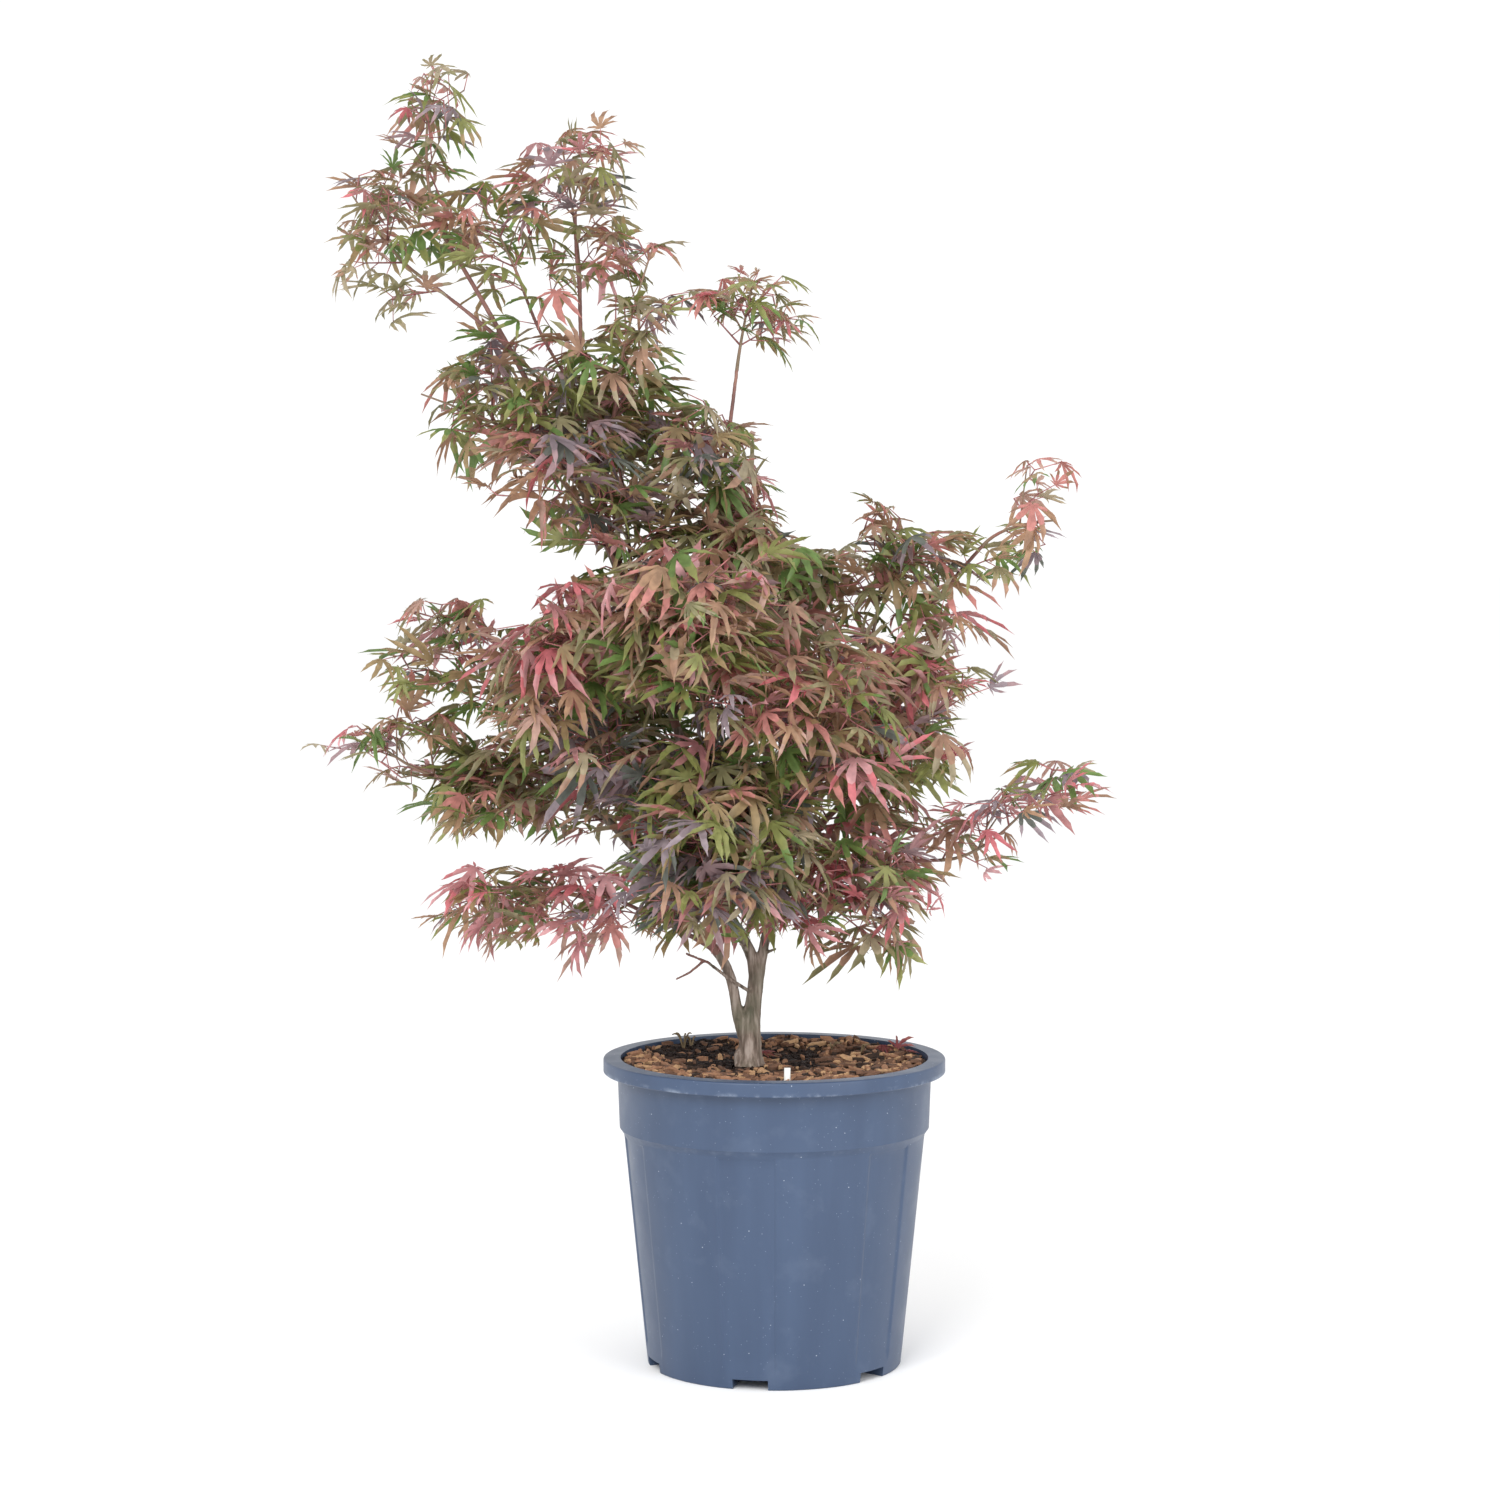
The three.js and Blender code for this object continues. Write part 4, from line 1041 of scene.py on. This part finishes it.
def make_foliage(limbs):
    foliage = Foliage(limbs)
    foliage.grow_all()
    for tint, batch in foliage.leaves.items():
        shades = [leaf_look(f"leaf_{tint}_{i + 1}", c) for i, c in enumerate(TINTS[tint])]
        named = [mass.name for mass in foliage.masses if mass.tint == tint]
        place(f"leaves_{tint}", batch, shades, f"leaf_{tint}", *named)
    twig = plain_look("twig", ["6b5f4c", "7d6a58", "8a5a50"], 60, 0.6, 0.2)
    shoot = plain_look("shoot", ["84585a", "9a6462"], 80, 0.5, 0.1)
    stalk = plain_look("stalk", ["a4686a", "ba7875"], 80, 0.45, 0.1)
    place("twigs", foliage.twigs, [twig], "bark")
    place("shoots", foliage.shoots, [shoot], "leaf_pink")
    place("leaf_stalks", foliage.stalks, [stalk], "leaf_pink")


# ------------------------------------------------------------------ wood

WOOD_VOXEL = 1.45
LIMB_SIDES = 14
LIMB_RING_SPACING = 9
LIMB_FLARE = 0.3  # at its foot, as a share of its radius
LIMB_FLARE_LENGTH = 9
NODE_WAVE = 6.5  # a limb swells at every pi times this
NODE_SWELL = 0.06
YOUNG_RADIUS = 3.1  # thinner limbs have young bark
CRACK_WIDTH = 2.4
CRACK_SQUEEZE = 0.16  # a crack's width, as a share of its height
CRACK_DEPTH = 0.9
CRACK_SINK = 0.35  # how far its middle lies below the plain skin
CRACKED_TO = 420  # the height that deep cracks in the bark reach
CRACKS_FADE = 120  # how far below it they begin to fade
LEAST_CRACKED = 0.18  # their share above it
GRAIN_WIDTH = 1.6
GRAIN_SQUEEZE = 0.4
GRAIN_DEPTH = 0.16
TRUNK_SIDES = 30
TRUNK_RINGS = (0, 2, 5, 9, 14, 20, 29, 38, 46, FORK_HEIGHT, 58, 62, 65)  # over the ground
TRUNK_ROUND_FROM = 44
TRUNK_ROUND_HEIGHT = 22
FLARE_HEIGHT = 7
FLARE_LOBES = 5
FLARE_LOBING = 0.3  # how much further the flare reaches at a lobe
RIBS = 3
RIB_DEPTH = 0.5
RIB_TWIST = 0.03  # radians for each millimetre up
RIBS_TO = 50
GRAFT_STRETCH = 1.35  # upwards
BALL_LATITUDE = 1.5  # radians to its first and last ring


def limb_tube(limb):
    """A limb's tube, slightly swollen at its nodes and flared where it leaves its parent."""
    length = limb.length()
    shares = np.linspace(0, 1, max(6, round(length / LIMB_RING_SPACING)))
    distance = shares * length
    swelling = np.cos(distance / NODE_WAVE) ** 8
    radii = limb.radius(shares) * (1 + NODE_SWELL * swelling)
    radii += LIMB_FLARE * limb.base_radius * np.exp(-distance / LIMB_FLARE_LENGTH)
    return tube([limb.point(s) for s in shares], radii, LIMB_SIDES)


def foot_tube():
    """The trunk, with its root flare, soft ribs and a top that is rounded inside the fork."""
    heights = np.array(TRUNK_RINGS)
    points = [(TRUNK_X - 1 + h * TRUNK_LEAN, 0, GROUND + GAP + h) for h in heights]
    rounded = np.sqrt(1 - np.clip((heights - TRUNK_ROUND_FROM) / TRUNK_ROUND_HEIGHT, 0, 1) ** 2)
    radii = (TRUNK_BASE_RADIUS - heights * TRUNK_TAPER) * rounded
    corners, faces = tube(points, radii, TRUNK_SIDES)
    middle = np.repeat(np.array(points), TRUNK_SIDES, axis=0)
    out = corners - middle
    angle = np.arctan2(out[:, 1], out[:, 0])
    height = np.repeat(heights, TRUNK_SIDES)
    lobes = 1 + FLARE_LOBING * np.cos(FLARE_LOBES * angle)
    flare = ROOT_FLARE * np.exp(-height / FLARE_HEIGHT) * lobes
    ribs = RIB_DEPTH * np.cos(RIBS * angle + height * RIB_TWIST) * (height < RIBS_TO)
    size = np.linalg.norm(out[:, :2], axis=1)
    return corners + out * ((flare + ribs) / size)[:, None], faces


def ball(middle, radius, stretch):
    latitudes = np.linspace(-BALL_LATITUDE, BALL_LATITUDE, 9)
    centres = [middle + UP * radius * stretch * math.sin(a) for a in latitudes]
    return tube(centres, radius * np.cos(latitudes), LIMB_SIDES)


def snags():
    """Cut stubs, broken twigs and a thin side twig: the points along each, and two radii."""
    return [
        ([(-30, -3, 340), (-37, -8, 347)], 2.6, 1.9),
        ([(-12, 2, 408), (2, -3, 414)], 2.0, 1.4),
        ([(-24, -2, 410), (-34, -10, 420)], 2.0, 1.4),
        ([(-24, -4, 371), (-46, -12, 386), (-66, -15, 402), (-88, -17, 411)], 2.1, 1.4),
        ([(-70, -15, 403), (-84, -18, 392), (-98, -18, 385)], 1.6, 1.2),
        ([(-192, 15, 1062), (-195, 10, 1100), (-196, 7, 1140)], 2.1, 1.9),
    ]


def make_wood(limbs):
    batch = Batch()
    batch.add(*foot_tube())
    graft = vec(TRUNK_X - GRAFT_RADIUS, -2, GROUND + GRAFT_RADIUS)
    batch.add(*ball(graft, GRAFT_RADIUS, GRAFT_STRETCH))
    for limb in limbs.values():
        batch.add(*limb_tube(limb))
    for points, start, end in snags():
        batch.add(*tube(points, np.linspace(start, end, len(points)), 10))
    wood = place("wood", batch, [], "bark", "trunk", *limbs)
    remesh = wood.modifiers.new("remesh", "REMESH")
    remesh.mode = "VOXEL"
    remesh.voxel_size = WOOD_VOXEL * MM
    remesh.use_smooth_shade = True
    apply_modifiers(wood)
    relief(wood.data)
    young = plain_look("young_bark", ["5d4440", "7a5650", "8f6a5d"], 45, 0.55, 0.2)
    for look in (bark_look(), young):
        wood.data.materials.append(look)
    mark_young(wood.data, limbs)


def rows_of(elements, attribute):
    """A vector of each of a mesh's elements, as rows."""
    values = np.zeros(len(elements) * 3, np.float32)
    elements.foreach_get(attribute, values)
    return values.reshape(-1, 3)


def mark_young(mesh, limbs):
    """Gives the second material to the wood of every limb where it is thin."""
    shares = np.linspace(0, 1, LINE_STEPS)
    axis = np.concatenate([limb.points() for limb in limbs.values()])
    radii = np.concatenate([limb.radius(shares) for limb in limbs.values()])
    centres = rows_of(mesh.polygons, "center") / MM
    nearest = np.concatenate([
        np.linalg.norm(axis[None] - part[:, None], axis=2).argmin(axis=1)
        for part in np.array_split(centres, 200)
    ])
    young = radii[nearest] < YOUNG_RADIUS
    mesh.polygons.foreach_set("material_index", young.astype(np.int32))


def relief(mesh):
    """Moves the wood's skin in and out: long cracks low down, fine grain on the boughs."""
    points = rows_of(mesh.vertices, "co") / MM
    normals = rows_of(mesh.vertex_normals, "vector")
    cracks = np.abs(smooth_noise(points * vec(1, 1, CRACK_SQUEEZE), CRACK_WIDTH, 3))
    grain = smooth_noise(points * vec(1, 1, GRAIN_SQUEEZE), GRAIN_WIDTH, 5)
    cracked = np.clip((CRACKED_TO - points[:, 2]) / CRACKS_FADE, LEAST_CRACKED, 1)
    depth = cracked * (CRACK_DEPTH * cracks - CRACK_SINK) + GRAIN_DEPTH * grain
    moved = points + normals * depth[:, None]
    moved[:, 2] = np.maximum(moved[:, 2], GROUND + GAP)
    mesh.vertices.foreach_set("co", (moved * MM).astype(np.float32).ravel())
    mesh.update()


def bark_look():
    """Grey-brown bark with long pale streaks and a green cast in places."""
    look = Look("bark", roughness=0.75, specular=0.25)
    streaks = look.noise(55, detail=6, stretch=(4, 4, 0.6))
    body = look.ramp(streaks, "Fac", [(0.34, "52473e"), (0.5, "807166"), (0.66, "aea096")])
    moss = look.noise(22, detail=3)
    cast = look.ramp(moss, "Fac", [(0.45, 0.0), (0.72, 0.55)]).outputs["Color"]
    look.colour(look.mix(cast, body.outputs["Color"], linear("6f7560")))
    look.bump(streaks, "Fac", 0.5, 0.6)
    return look.material


# ------------------------------------------------------------------ the container

POT_SIDES = 180
ROUNDING_STEPS = 5
FLUTE_EDGE = 0.8  # degrees over which a flute's edge slopes, to either side of it
FLUTE_END = 3  # the height over which its ends slope
FLUTE_EDGE_STEPS = (-FLUTE_EDGE, -0.5, -0.2, 0.2, 0.5, FLUTE_EDGE)
FOOT_ROUNDING = 1.5
LIP_EDGE = 0.8  # the slant of the lip's lower edges
COLLAR_FILLET = 2  # where the collar meets the lip
BLOCK_OVERLAP = 20  # how far a cutter passes the wall
CUTTER_DEPTH = 10  # how far it passes the underside
DRAIN_CUTTER_TOP = 30
DRAIN_SIDES = 24
SHARP_ANGLE = 32


def wall_radius(z):
    return FOOT_RADIUS + (WALL_TOP_RADIUS - FOOT_RADIUS) * z / WALL_TOP


def collar_radius(z):
    share = (z - COLLAR_FOOT) / (POT_HEIGHT - COLLAR_FOOT)
    return COLLAR_FOOT_RADIUS + (COLLAR_TOP_RADIUS - COLLAR_FOOT_RADIUS) * share


def corner(radius, z, rounding, start, end):
    """A rounded corner of a profile about a centre, between two angles in degrees."""
    angles = np.radians(np.linspace(start, end, ROUNDING_STEPS))
    return [(radius + rounding * math.cos(a), z + rounding * math.sin(a)) for a in angles]


def flute_depth(z, angle):
    """How far the wall lies back at a height and an angle from the front, in radians."""
    pitch = 360 / FLUTES
    off = np.abs((np.degrees(angle) - FLUTE_TURN + pitch / 2) % pitch - pitch / 2)
    edge = np.clip((FLUTE_WIDTH / 2 + FLUTE_EDGE - off) / (2 * FLUTE_EDGE), 0, 1)
    ends = np.clip((z - FLUTE_FOOT) / FLUTE_END, 0, 1)
    ends *= np.clip((WALL_TOP - z) / FLUTE_END, 0, 1)
    return FLUTE_DEPTH * edge * edge * (3 - 2 * edge) * ends


def turns_round():
    """Angles round the pot in radians: even steps, and finer ones at the flutes' edges."""
    turns = [i * 360 / POT_SIDES for i in range(POT_SIDES)]
    for k in range(FLUTES):
        for edge in (-FLUTE_WIDTH / 2, FLUTE_WIDTH / 2):
            turns += [FLUTE_TURN + k * 360 / FLUTES + edge + step for step in FLUTE_EDGE_STEPS]
    ordered = np.unique(np.round(np.array(turns) % 360, 3))
    apart = np.diff(ordered, append=ordered[0] + 360) > 0.15
    return np.radians(ordered[apart])


def level_ring(radii, z, angles):
    """Corners round the axis, at angles from the front."""
    return np.stack([radii * np.sin(angles), -radii * np.cos(angles), np.full(len(angles), z)], 1)


def lathe(profile, fluted=False):
    """A closed form turned about Z, from (radius, z) pairs that start and end on the axis."""
    angles = turns_round()
    rings = []
    for radius, z in profile[1:-1]:
        radii = radius - flute_depth(z, angles) if fluted else radius
        rings.append(level_ring(radii, z, angles))
    return pointed(rings, (0, 0, profile[0][1]), (0, 0, profile[-1][1]))


def outside_profile():
    lip_foot = POT_HEIGHT - LIP_DROP
    lip_inside = RIM_RADIUS - LIP_WALL
    under = POT_HEIGHT - LIP_WALL
    wall = [(wall_radius(z), z) for z in np.linspace(FLUTE_FOOT - 1, WALL_TOP - FLUTE_END, 24)]
    return [
        (0, 0),
        (FOOT_RADIUS - 2, 0),
        *corner(FOOT_RADIUS - FOOT_ROUNDING, FOOT_ROUNDING, FOOT_ROUNDING, -80, 0),
        *wall,
        (WALL_TOP_RADIUS, WALL_TOP - 1.5),
        (WALL_TOP_RADIUS, WALL_TOP),
        (WALL_TOP_RADIUS + 0.7, WALL_TOP + 1.5),
        (COLLAR_FOOT_RADIUS - 1, COLLAR_FOOT - 1.2),
        (COLLAR_FOOT_RADIUS, COLLAR_FOOT),
        (collar_radius(COLLAR_FOOT + 2), COLLAR_FOOT + 2),
        (collar_radius(under - COLLAR_FILLET), under - COLLAR_FILLET),
        (collar_radius(under) + 0.6, under - 0.5),
        (collar_radius(under) + COLLAR_FILLET, under),
        (lip_inside - 1, under),
        (lip_inside, under - 1),
        (lip_inside, lip_foot + LIP_EDGE),
        (lip_inside + LIP_EDGE, lip_foot),
        (RIM_RADIUS - LIP_EDGE, lip_foot),
        (RIM_RADIUS, lip_foot + LIP_EDGE),
        *corner(RIM_RADIUS - LIP_ROUNDING, POT_HEIGHT - LIP_ROUNDING, LIP_ROUNDING, 0, 90),
        (0, POT_HEIGHT),
    ]


def hollow_profile(inset, top):
    """The pot's inside, smaller by an inset."""
    floor = FLOOR + inset
    side = WALL + FLUTE_DEPTH + inset
    return [
        (0, floor),
        (wall_radius(floor) - side, floor),
        (WALL_TOP_RADIUS - side, WALL_TOP + 0.1),
        (COLLAR_FOOT_RADIUS - side, COLLAR_FOOT),
        (collar_radius(top) - side, top),
        (0, top),
    ]


def channel_directions():
    """Level directions from the axis, along the drain channels under the flutes."""
    turns = [math.radians(FLUTE_TURN + k * 360 / FLUTES) for k in range(FLUTES)]
    return [vec(math.sin(turn), -math.cos(turn), 0) for turn in turns]


def channel_blocks(margin):
    """The blocks that raise the floor over the drain channels, larger by a margin."""
    batch = Batch()
    near, far = CHANNEL_INNER_END - margin, FOOT_RADIUS + BLOCK_OVERLAP
    half = CHANNEL_WIDTH / 2 + margin
    for outward in channel_directions():
        beside = vec(-outward[1], outward[0], 0)
        outline = ((near, -half), (far, -half), (far, half), (near, half))
        flat = np.array([outward * out + beside * aside for out, aside in outline])
        batch.add(*lidded([flat + UP * z for z in (-CUTTER_DEPTH, CHANNEL_HEIGHT + margin)]))
    return batch


def drain_holes():
    batch = Batch()
    for outward in channel_directions():
        at = outward * DRAIN_DISTANCE
        ends = [at - UP * CUTTER_DEPTH, at + UP * DRAIN_CUTTER_TOP]
        batch.add(*tube(ends, [DRAIN_RADIUS] * 2, DRAIN_SIDES))
    return batch


def carve(target, cutter):
    """Cuts one object out of another, and removes the cutter."""
    cut = target.modifiers.new("cut", "BOOLEAN")
    cut.operation = "DIFFERENCE"
    cut.solver = "EXACT"
    cut.object = cutter
    apply_modifiers(target)
    bpy.data.objects.remove(cutter)


def shade_by_angle(mesh, degrees):
    """Smooth shading, except over edges that turn further than an angle."""
    mesh.polygons.foreach_set("use_smooth", np.ones(len(mesh.polygons), bool))
    mesh.set_sharp_from_angle(angle=math.radians(degrees))
    mesh.update()


def make_pot():
    inside = loose_object("inside", batch_of(lathe(hollow_profile(0, POT_HEIGHT + 1))))
    carve(inside, loose_object("raised", channel_blocks(WALL)))
    pot = loose_object("container", batch_of(lathe(outside_profile(), fluted=True)))
    carve(pot, inside)
    carve(pot, loose_object("channels", channel_blocks(0)))
    carve(pot, loose_object("drains", drain_holes()))
    pot.data.materials.clear()
    pot.data.materials.append(pot_look())
    shade_by_angle(pot.data, SHARP_ANGLE)
    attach(pot, BODY)
    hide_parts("pot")


# ------------------------------------------------------------------ the growing medium

SOIL_RINGS = 60
SOIL_SPOKES = 220
SOIL_EDGE_DROP = 4  # from the ground to the straight wall of the soil's edge
CHIP_COUNT = 1150
CHIP_LENGTHS = (6, 27)
CHIP_THICKNESSES = (1.2, 3.2)
WIDEST_CHIP = 8
CHIP_SIDES = 8
CHIP_SHARP_ANGLE = 35
CHIP_EDGE = 6  # from a chip's middle to the pot's wall
CHIP_ROLL = 0.22  # radians, most often less
CHIP_TIP = 0.16
CHIP_LIFTS = (0.4, 3.6)
CHIP_COLOURS = {
    "pale": ("a98462", "c4a07a"),
    "tan": ("84604a", "a47c60"),
    "brown": ("5d4436", "795a48"),
    "dark": ("2c221d", "43332a"),
}
CHIP_SHARES = (0.16, 0.38, 0.32, 0.14)
# Dark compost that lies bare between the chips: the middle and the radius of each patch.
COMPOST = [(-74, 62, 48), (-48, 14, 32), (14, 66, 36), (24, 14, 24), (-70, 110, 26)]
BARE_SHARE = 0.85  # the share of chips that such a patch lacks
TRUNK_CLEARANCE = 20  # where no chip lies
SOIL_TOP = GROUND - 1.5
EDGE_RISE = 6.5  # how much higher the soil lies by the pot's wall
EDGE_RISE_FROM = 80  # the radius at which it begins to rise
EDGE_RISE_WIDTH = 60
# How wide and how high its heaps, its crumbs and its grains are, with the seed of each.
SOIL_HEAPS = ((34, 1.6, 1), (7, 1.3, 2), (3.1, 0.7, 4))
CRUMBS_PER_MM = 6  # of a patch's radius
CRUMB_SIZES = (1.0, 3.4)
COMPOST_HEAP = 3.5
# The x, the y and the lean in degrees of each.
FALLEN_LEAVES = [(112, 70, 25), (124, 52, 60), (133, 28, 15), (-12, 62, 20)]
FALLEN_LEAF_LENGTH = 24
FALLEN_LEAF_SIZES = (0.7, 1.1)
FALLEN_LEAF_RISE = 7
# The x, the y and the height of each.
SPRIGS = [(-92, 92, 27), (-84, 100, 21), (58, 84, 17), (88, 66, 18)]
STALKS_PER_SPRIG = 4
LABEL_TOP = (11, -138, 316)
LABEL_SIZE = (6, 0.8)
LABEL_LEAN = 0.5


def soil_height(x, y):
    points = np.stack([x, y, np.zeros_like(x)], -1).reshape(-1, 3)
    rise = np.clip((np.hypot(x, y).ravel() - EDGE_RISE_FROM) / EDGE_RISE_WIDTH, 0, 1)
    height = SOIL_TOP + EDGE_RISE * rise
    for width, size, seed in SOIL_HEAPS:
        height = height + size * smooth_noise(points, width, seed)
    return height.reshape(x.shape)


def ground_at(x, y):
    return soil_height(np.array([x]), np.array([y]))[0]


def make_soil():
    """The medium's body: a crumbly top, and below it the inside of the pot."""
    edge = collar_radius(GROUND) - WALL - FLUTE_DEPTH - GAP
    above_channels = CHANNEL_HEIGHT + WALL + GAP
    profile = hollow_profile(GAP, GROUND - SOIL_EDGE_DROP)
    profile[1] = (profile[1][0], above_channels)  # the foot lies on the raised floor
    angles = np.arange(SOIL_SPOKES) * 2 * math.pi / SOIL_SPOKES
    low = [level_ring(radius, z, angles) for radius, z in profile[1:-1]]
    radii = np.linspace(edge, 0, SOIL_RINGS + 1)[:-1]
    x = radii[:, None] * np.sin(angles)
    y = -radii[:, None] * np.cos(angles)
    top = np.stack([x, y, soil_height(x, y)], 2)
    form = pointed([*low, *top], (0, 0, above_channels), (0, 0, ground_at(0.0, 0.0)))
    look = plain_look("soil", ["1d1613", "3a2a21", "5a4233"], 160, 0.95, 1.5)
    place("soil", batch_of(form), [look], "growing_medium", "growing_medium")


def chip_form(random):
    """A splintered flake of bark, flat on the ground, with its long side on X."""
    length = CHIP_LENGTHS[0] + (CHIP_LENGTHS[1] - CHIP_LENGTHS[0]) * random.uniform(0, 1) ** 1.6
    width = min(length * random.uniform(0.16, 0.5), WIDEST_CHIP)
    thick = random.uniform(*CHIP_THICKNESSES)
    count = CHIP_SIDES
    angles = np.arange(count) * 2 * math.pi / count
    radii = random.uniform(0.72, 1.1, count)
    flat = np.stack([np.cos(angles) * radii * length / 2, np.sin(angles) * radii * width / 2], 1)
    lower = np.column_stack([flat * 0.9, random.uniform(-1, 0.1, count) - thick / 2])
    upper = np.column_stack([flat, random.uniform(-0.5, 0.5, count) + thick / 2])
    ridge = np.column_stack([flat * 0.55, random.uniform(-0.4, 0.9, count) + thick * 0.7])
    return pointed([lower, upper, ridge], (0, 0, -thick / 2 - 0.5), (0, 0, thick * 0.8))


def turn_about(axis, angle):
    return np.array([turned(row, axis, angle) for row in np.eye(3)])


def make_chips():
    random = np.random.default_rng(21)
    batches = {name: Batch() for name in CHIP_COLOURS}
    edge = collar_radius(GROUND) - WALL - FLUTE_DEPTH - CHIP_EDGE
    for _ in range(CHIP_COUNT):
        angle = random.uniform(0, 2 * math.pi)
        distance = edge * math.sqrt(random.uniform(0, 1))
        x, y = distance * math.cos(angle), distance * math.sin(angle)
        if math.hypot(x - TRUNK_X, y) < TRUNK_CLEARANCE:
            continue
        bare = any(math.hypot(x - px, y - py) < radius for px, py, radius in COMPOST)
        if bare and random.random() < BARE_SHARE:
            continue
        points, faces = chip_form(random)
        spin = turn_about(UP, random.uniform(0, math.pi))
        roll = turn_about(vec(1, 0, 0), random.normal(0, CHIP_ROLL))
        tip = turn_about(vec(0, 1, 0), random.normal(0, CHIP_TIP))
        at = vec(x, y, ground_at(x, y) + random.uniform(*CHIP_LIFTS))
        kind = random.choice(list(CHIP_COLOURS), p=CHIP_SHARES)
        batches[kind].add(points @ roll @ tip @ spin + at, faces)
    for kind, batch in batches.items():
        look = plain_look(f"chip_{kind}", CHIP_COLOURS[kind], 220, 0.85, 0.5)
        chips = place(f"bark_chips_{kind}", batch, [look], "growing_medium")
        shade_by_angle(chips.data, CHIP_SHARP_ANGLE)


def make_compost():
    """Dark crumbs of compost, heaped a little in the bare patches."""
    random = np.random.default_rng(5)
    batch = Batch()
    for px, py, radius in COMPOST:
        for _ in range(round(radius * CRUMBS_PER_MM)):
            angle = random.uniform(0, 2 * math.pi)
            distance = radius * random.uniform(0, 1) ** 0.6
            x, y = px + distance * math.cos(angle), py + distance * math.sin(angle)
            size = random.uniform(*CRUMB_SIZES)
            heap = random.uniform(0, COMPOST_HEAP) * (1 - distance / radius)
            middle = vec(x, y, ground_at(x, y) + heap)
            rings = [middle + UP * size * k * 0.6 for k in (-1, -0.4, 0.4, 1)]
            batch.add(*tube(rings, size * random.uniform(0.5, 1.1, 4), 5))
    look = plain_look("compost", ["171210", "2b2220", "3d312b"], 300, 0.95, 0.6)
    place("compost_crumbs", batch, [look], "growing_medium")


def make_litter():
    """What lies on the soil: fallen leaves, dead sprigs and the stub of a plant label."""
    random = np.random.default_rng(12)
    fallen = Batch()
    for x, y, lean in FALLEN_LEAVES:
        form, faces, ends = leaf_form(random)
        spin = turn_about(UP, random.uniform(0, 2 * math.pi))
        tip = turn_about(vec(1, 0, 0), math.radians(lean))
        size = FALLEN_LEAF_LENGTH * random.uniform(*FALLEN_LEAF_SIZES)
        at = vec(x, y, ground_at(x, y) + FALLEN_LEAF_RISE)
        fallen.add(form * size @ spin @ tip + at, faces, ends.astype(int))
    shades = [leaf_look("fallen_leaf", "8e4a4c"), leaf_look("fallen_leaf_end", "a4605a")]
    place("fallen_leaves", fallen, shades, "leaf_pink")
    sprigs = Batch()
    for x, y, height in SPRIGS:
        for _ in range(STALKS_PER_SPRIG):
            way = vec(random.uniform(-1, 1), random.uniform(-0.4, 0.4), 0)
            foot = vec(x, y, GROUND - 3)
            line = Bezier(foot, foot + UP * height + way * 3, foot + UP * height * 0.8 + way * 12)
            sprigs.add(*tube([line.point(t) for t in np.linspace(0, 1, 8)], [0.9] * 7 + [0.5], 5))
    sprig = plain_look("sprig", ["6a5b46", "8b7a5e"], 120, 0.8, 0.2)
    place("dead_sprigs", sprigs, [sprig], "bark")
    stub = Look("label", roughness=0.5)
    stub.shader.inputs["Base Color"].default_value = linear("e4e4e0")
    place("label_stub", batch_of(label_form()), [stub.material], "pot_plastic")


def label_form():
    """An upright strip with its flat side to the front, which leans a little to the right."""
    x, y, top = LABEL_TOP
    width, thickness = LABEL_SIZE
    outline = ((-width, -thickness), (width, -thickness), (width, thickness), (-width, thickness))
    ends = ((x, GROUND - 6), (x + LABEL_LEAN, top))
    return lidded([[(middle + a / 2, y + b / 2, z) for a, b in outline] for middle, z in ends])


# ------------------------------------------------------------------ stage

WORLD_STRENGTH = 1.07  # the pale floor then fades into the background
FLOOR_SHADE = 0.95
FLOOR_REACH = 60  # metres
# The place and the side of each light in metres, its power in watts, and what they aim at.
LIGHTS = {"key": ((-1.2, -3.0, 2.5), 1.8, 80), "fill": ((2.2, -2.4, 1.4), 1.8, 36)}
LIGHT_AIM = (-0.05, 0, 0.6)


def make_floor():
    reach = FLOOR_REACH
    mesh = bpy.data.meshes.new("floor")
    corners = [(-reach, -reach, 0), (reach, -reach, 0), (reach, reach, 0), (-reach, reach, 0)]
    mesh.from_pydata(corners, [], [(0, 1, 2, 3)])
    look = Look("floor", roughness=0.9, specular=0.0)
    look.shader.inputs["Base Color"].default_value = (*[FLOOR_SHADE] * 3, 1)
    mesh.materials.append(look.material)
    floor = bpy.data.objects.new("floor", mesh)
    bpy.context.scene.collection.objects.link(floor)


def make_stage():
    make_floor()
    world = bpy.data.worlds.new("studio")
    world.use_nodes = True
    background = world.node_tree.nodes["Background"]
    background.inputs["Color"].default_value = (1, 1, 1, 1)
    background.inputs["Strength"].default_value = WORLD_STRENGTH
    bpy.context.scene.world = world
    bpy.context.scene.view_settings.view_transform = "Standard"
    for name, (at, side, power) in LIGHTS.items():
        area_light(name, at, side, power)


def area_light(name, at, side, power):
    data = bpy.data.lights.new(name, "AREA")
    data.size = side
    data.energy = power
    light = bpy.data.objects.new(name, data)
    light.location = at
    aim = Vector(LIGHT_AIM) - light.location
    light.rotation_euler = aim.to_track_quat("-Z", "Y").to_euler()
    bpy.context.scene.collection.objects.link(light)


# ------------------------------------------------------------------ all together

make_camera()
make_stage()
make_pot()
make_soil()
make_chips()
make_compost()
make_litter()
all_limbs = make_limbs()
make_wood(all_limbs)
make_foliage(all_limbs)
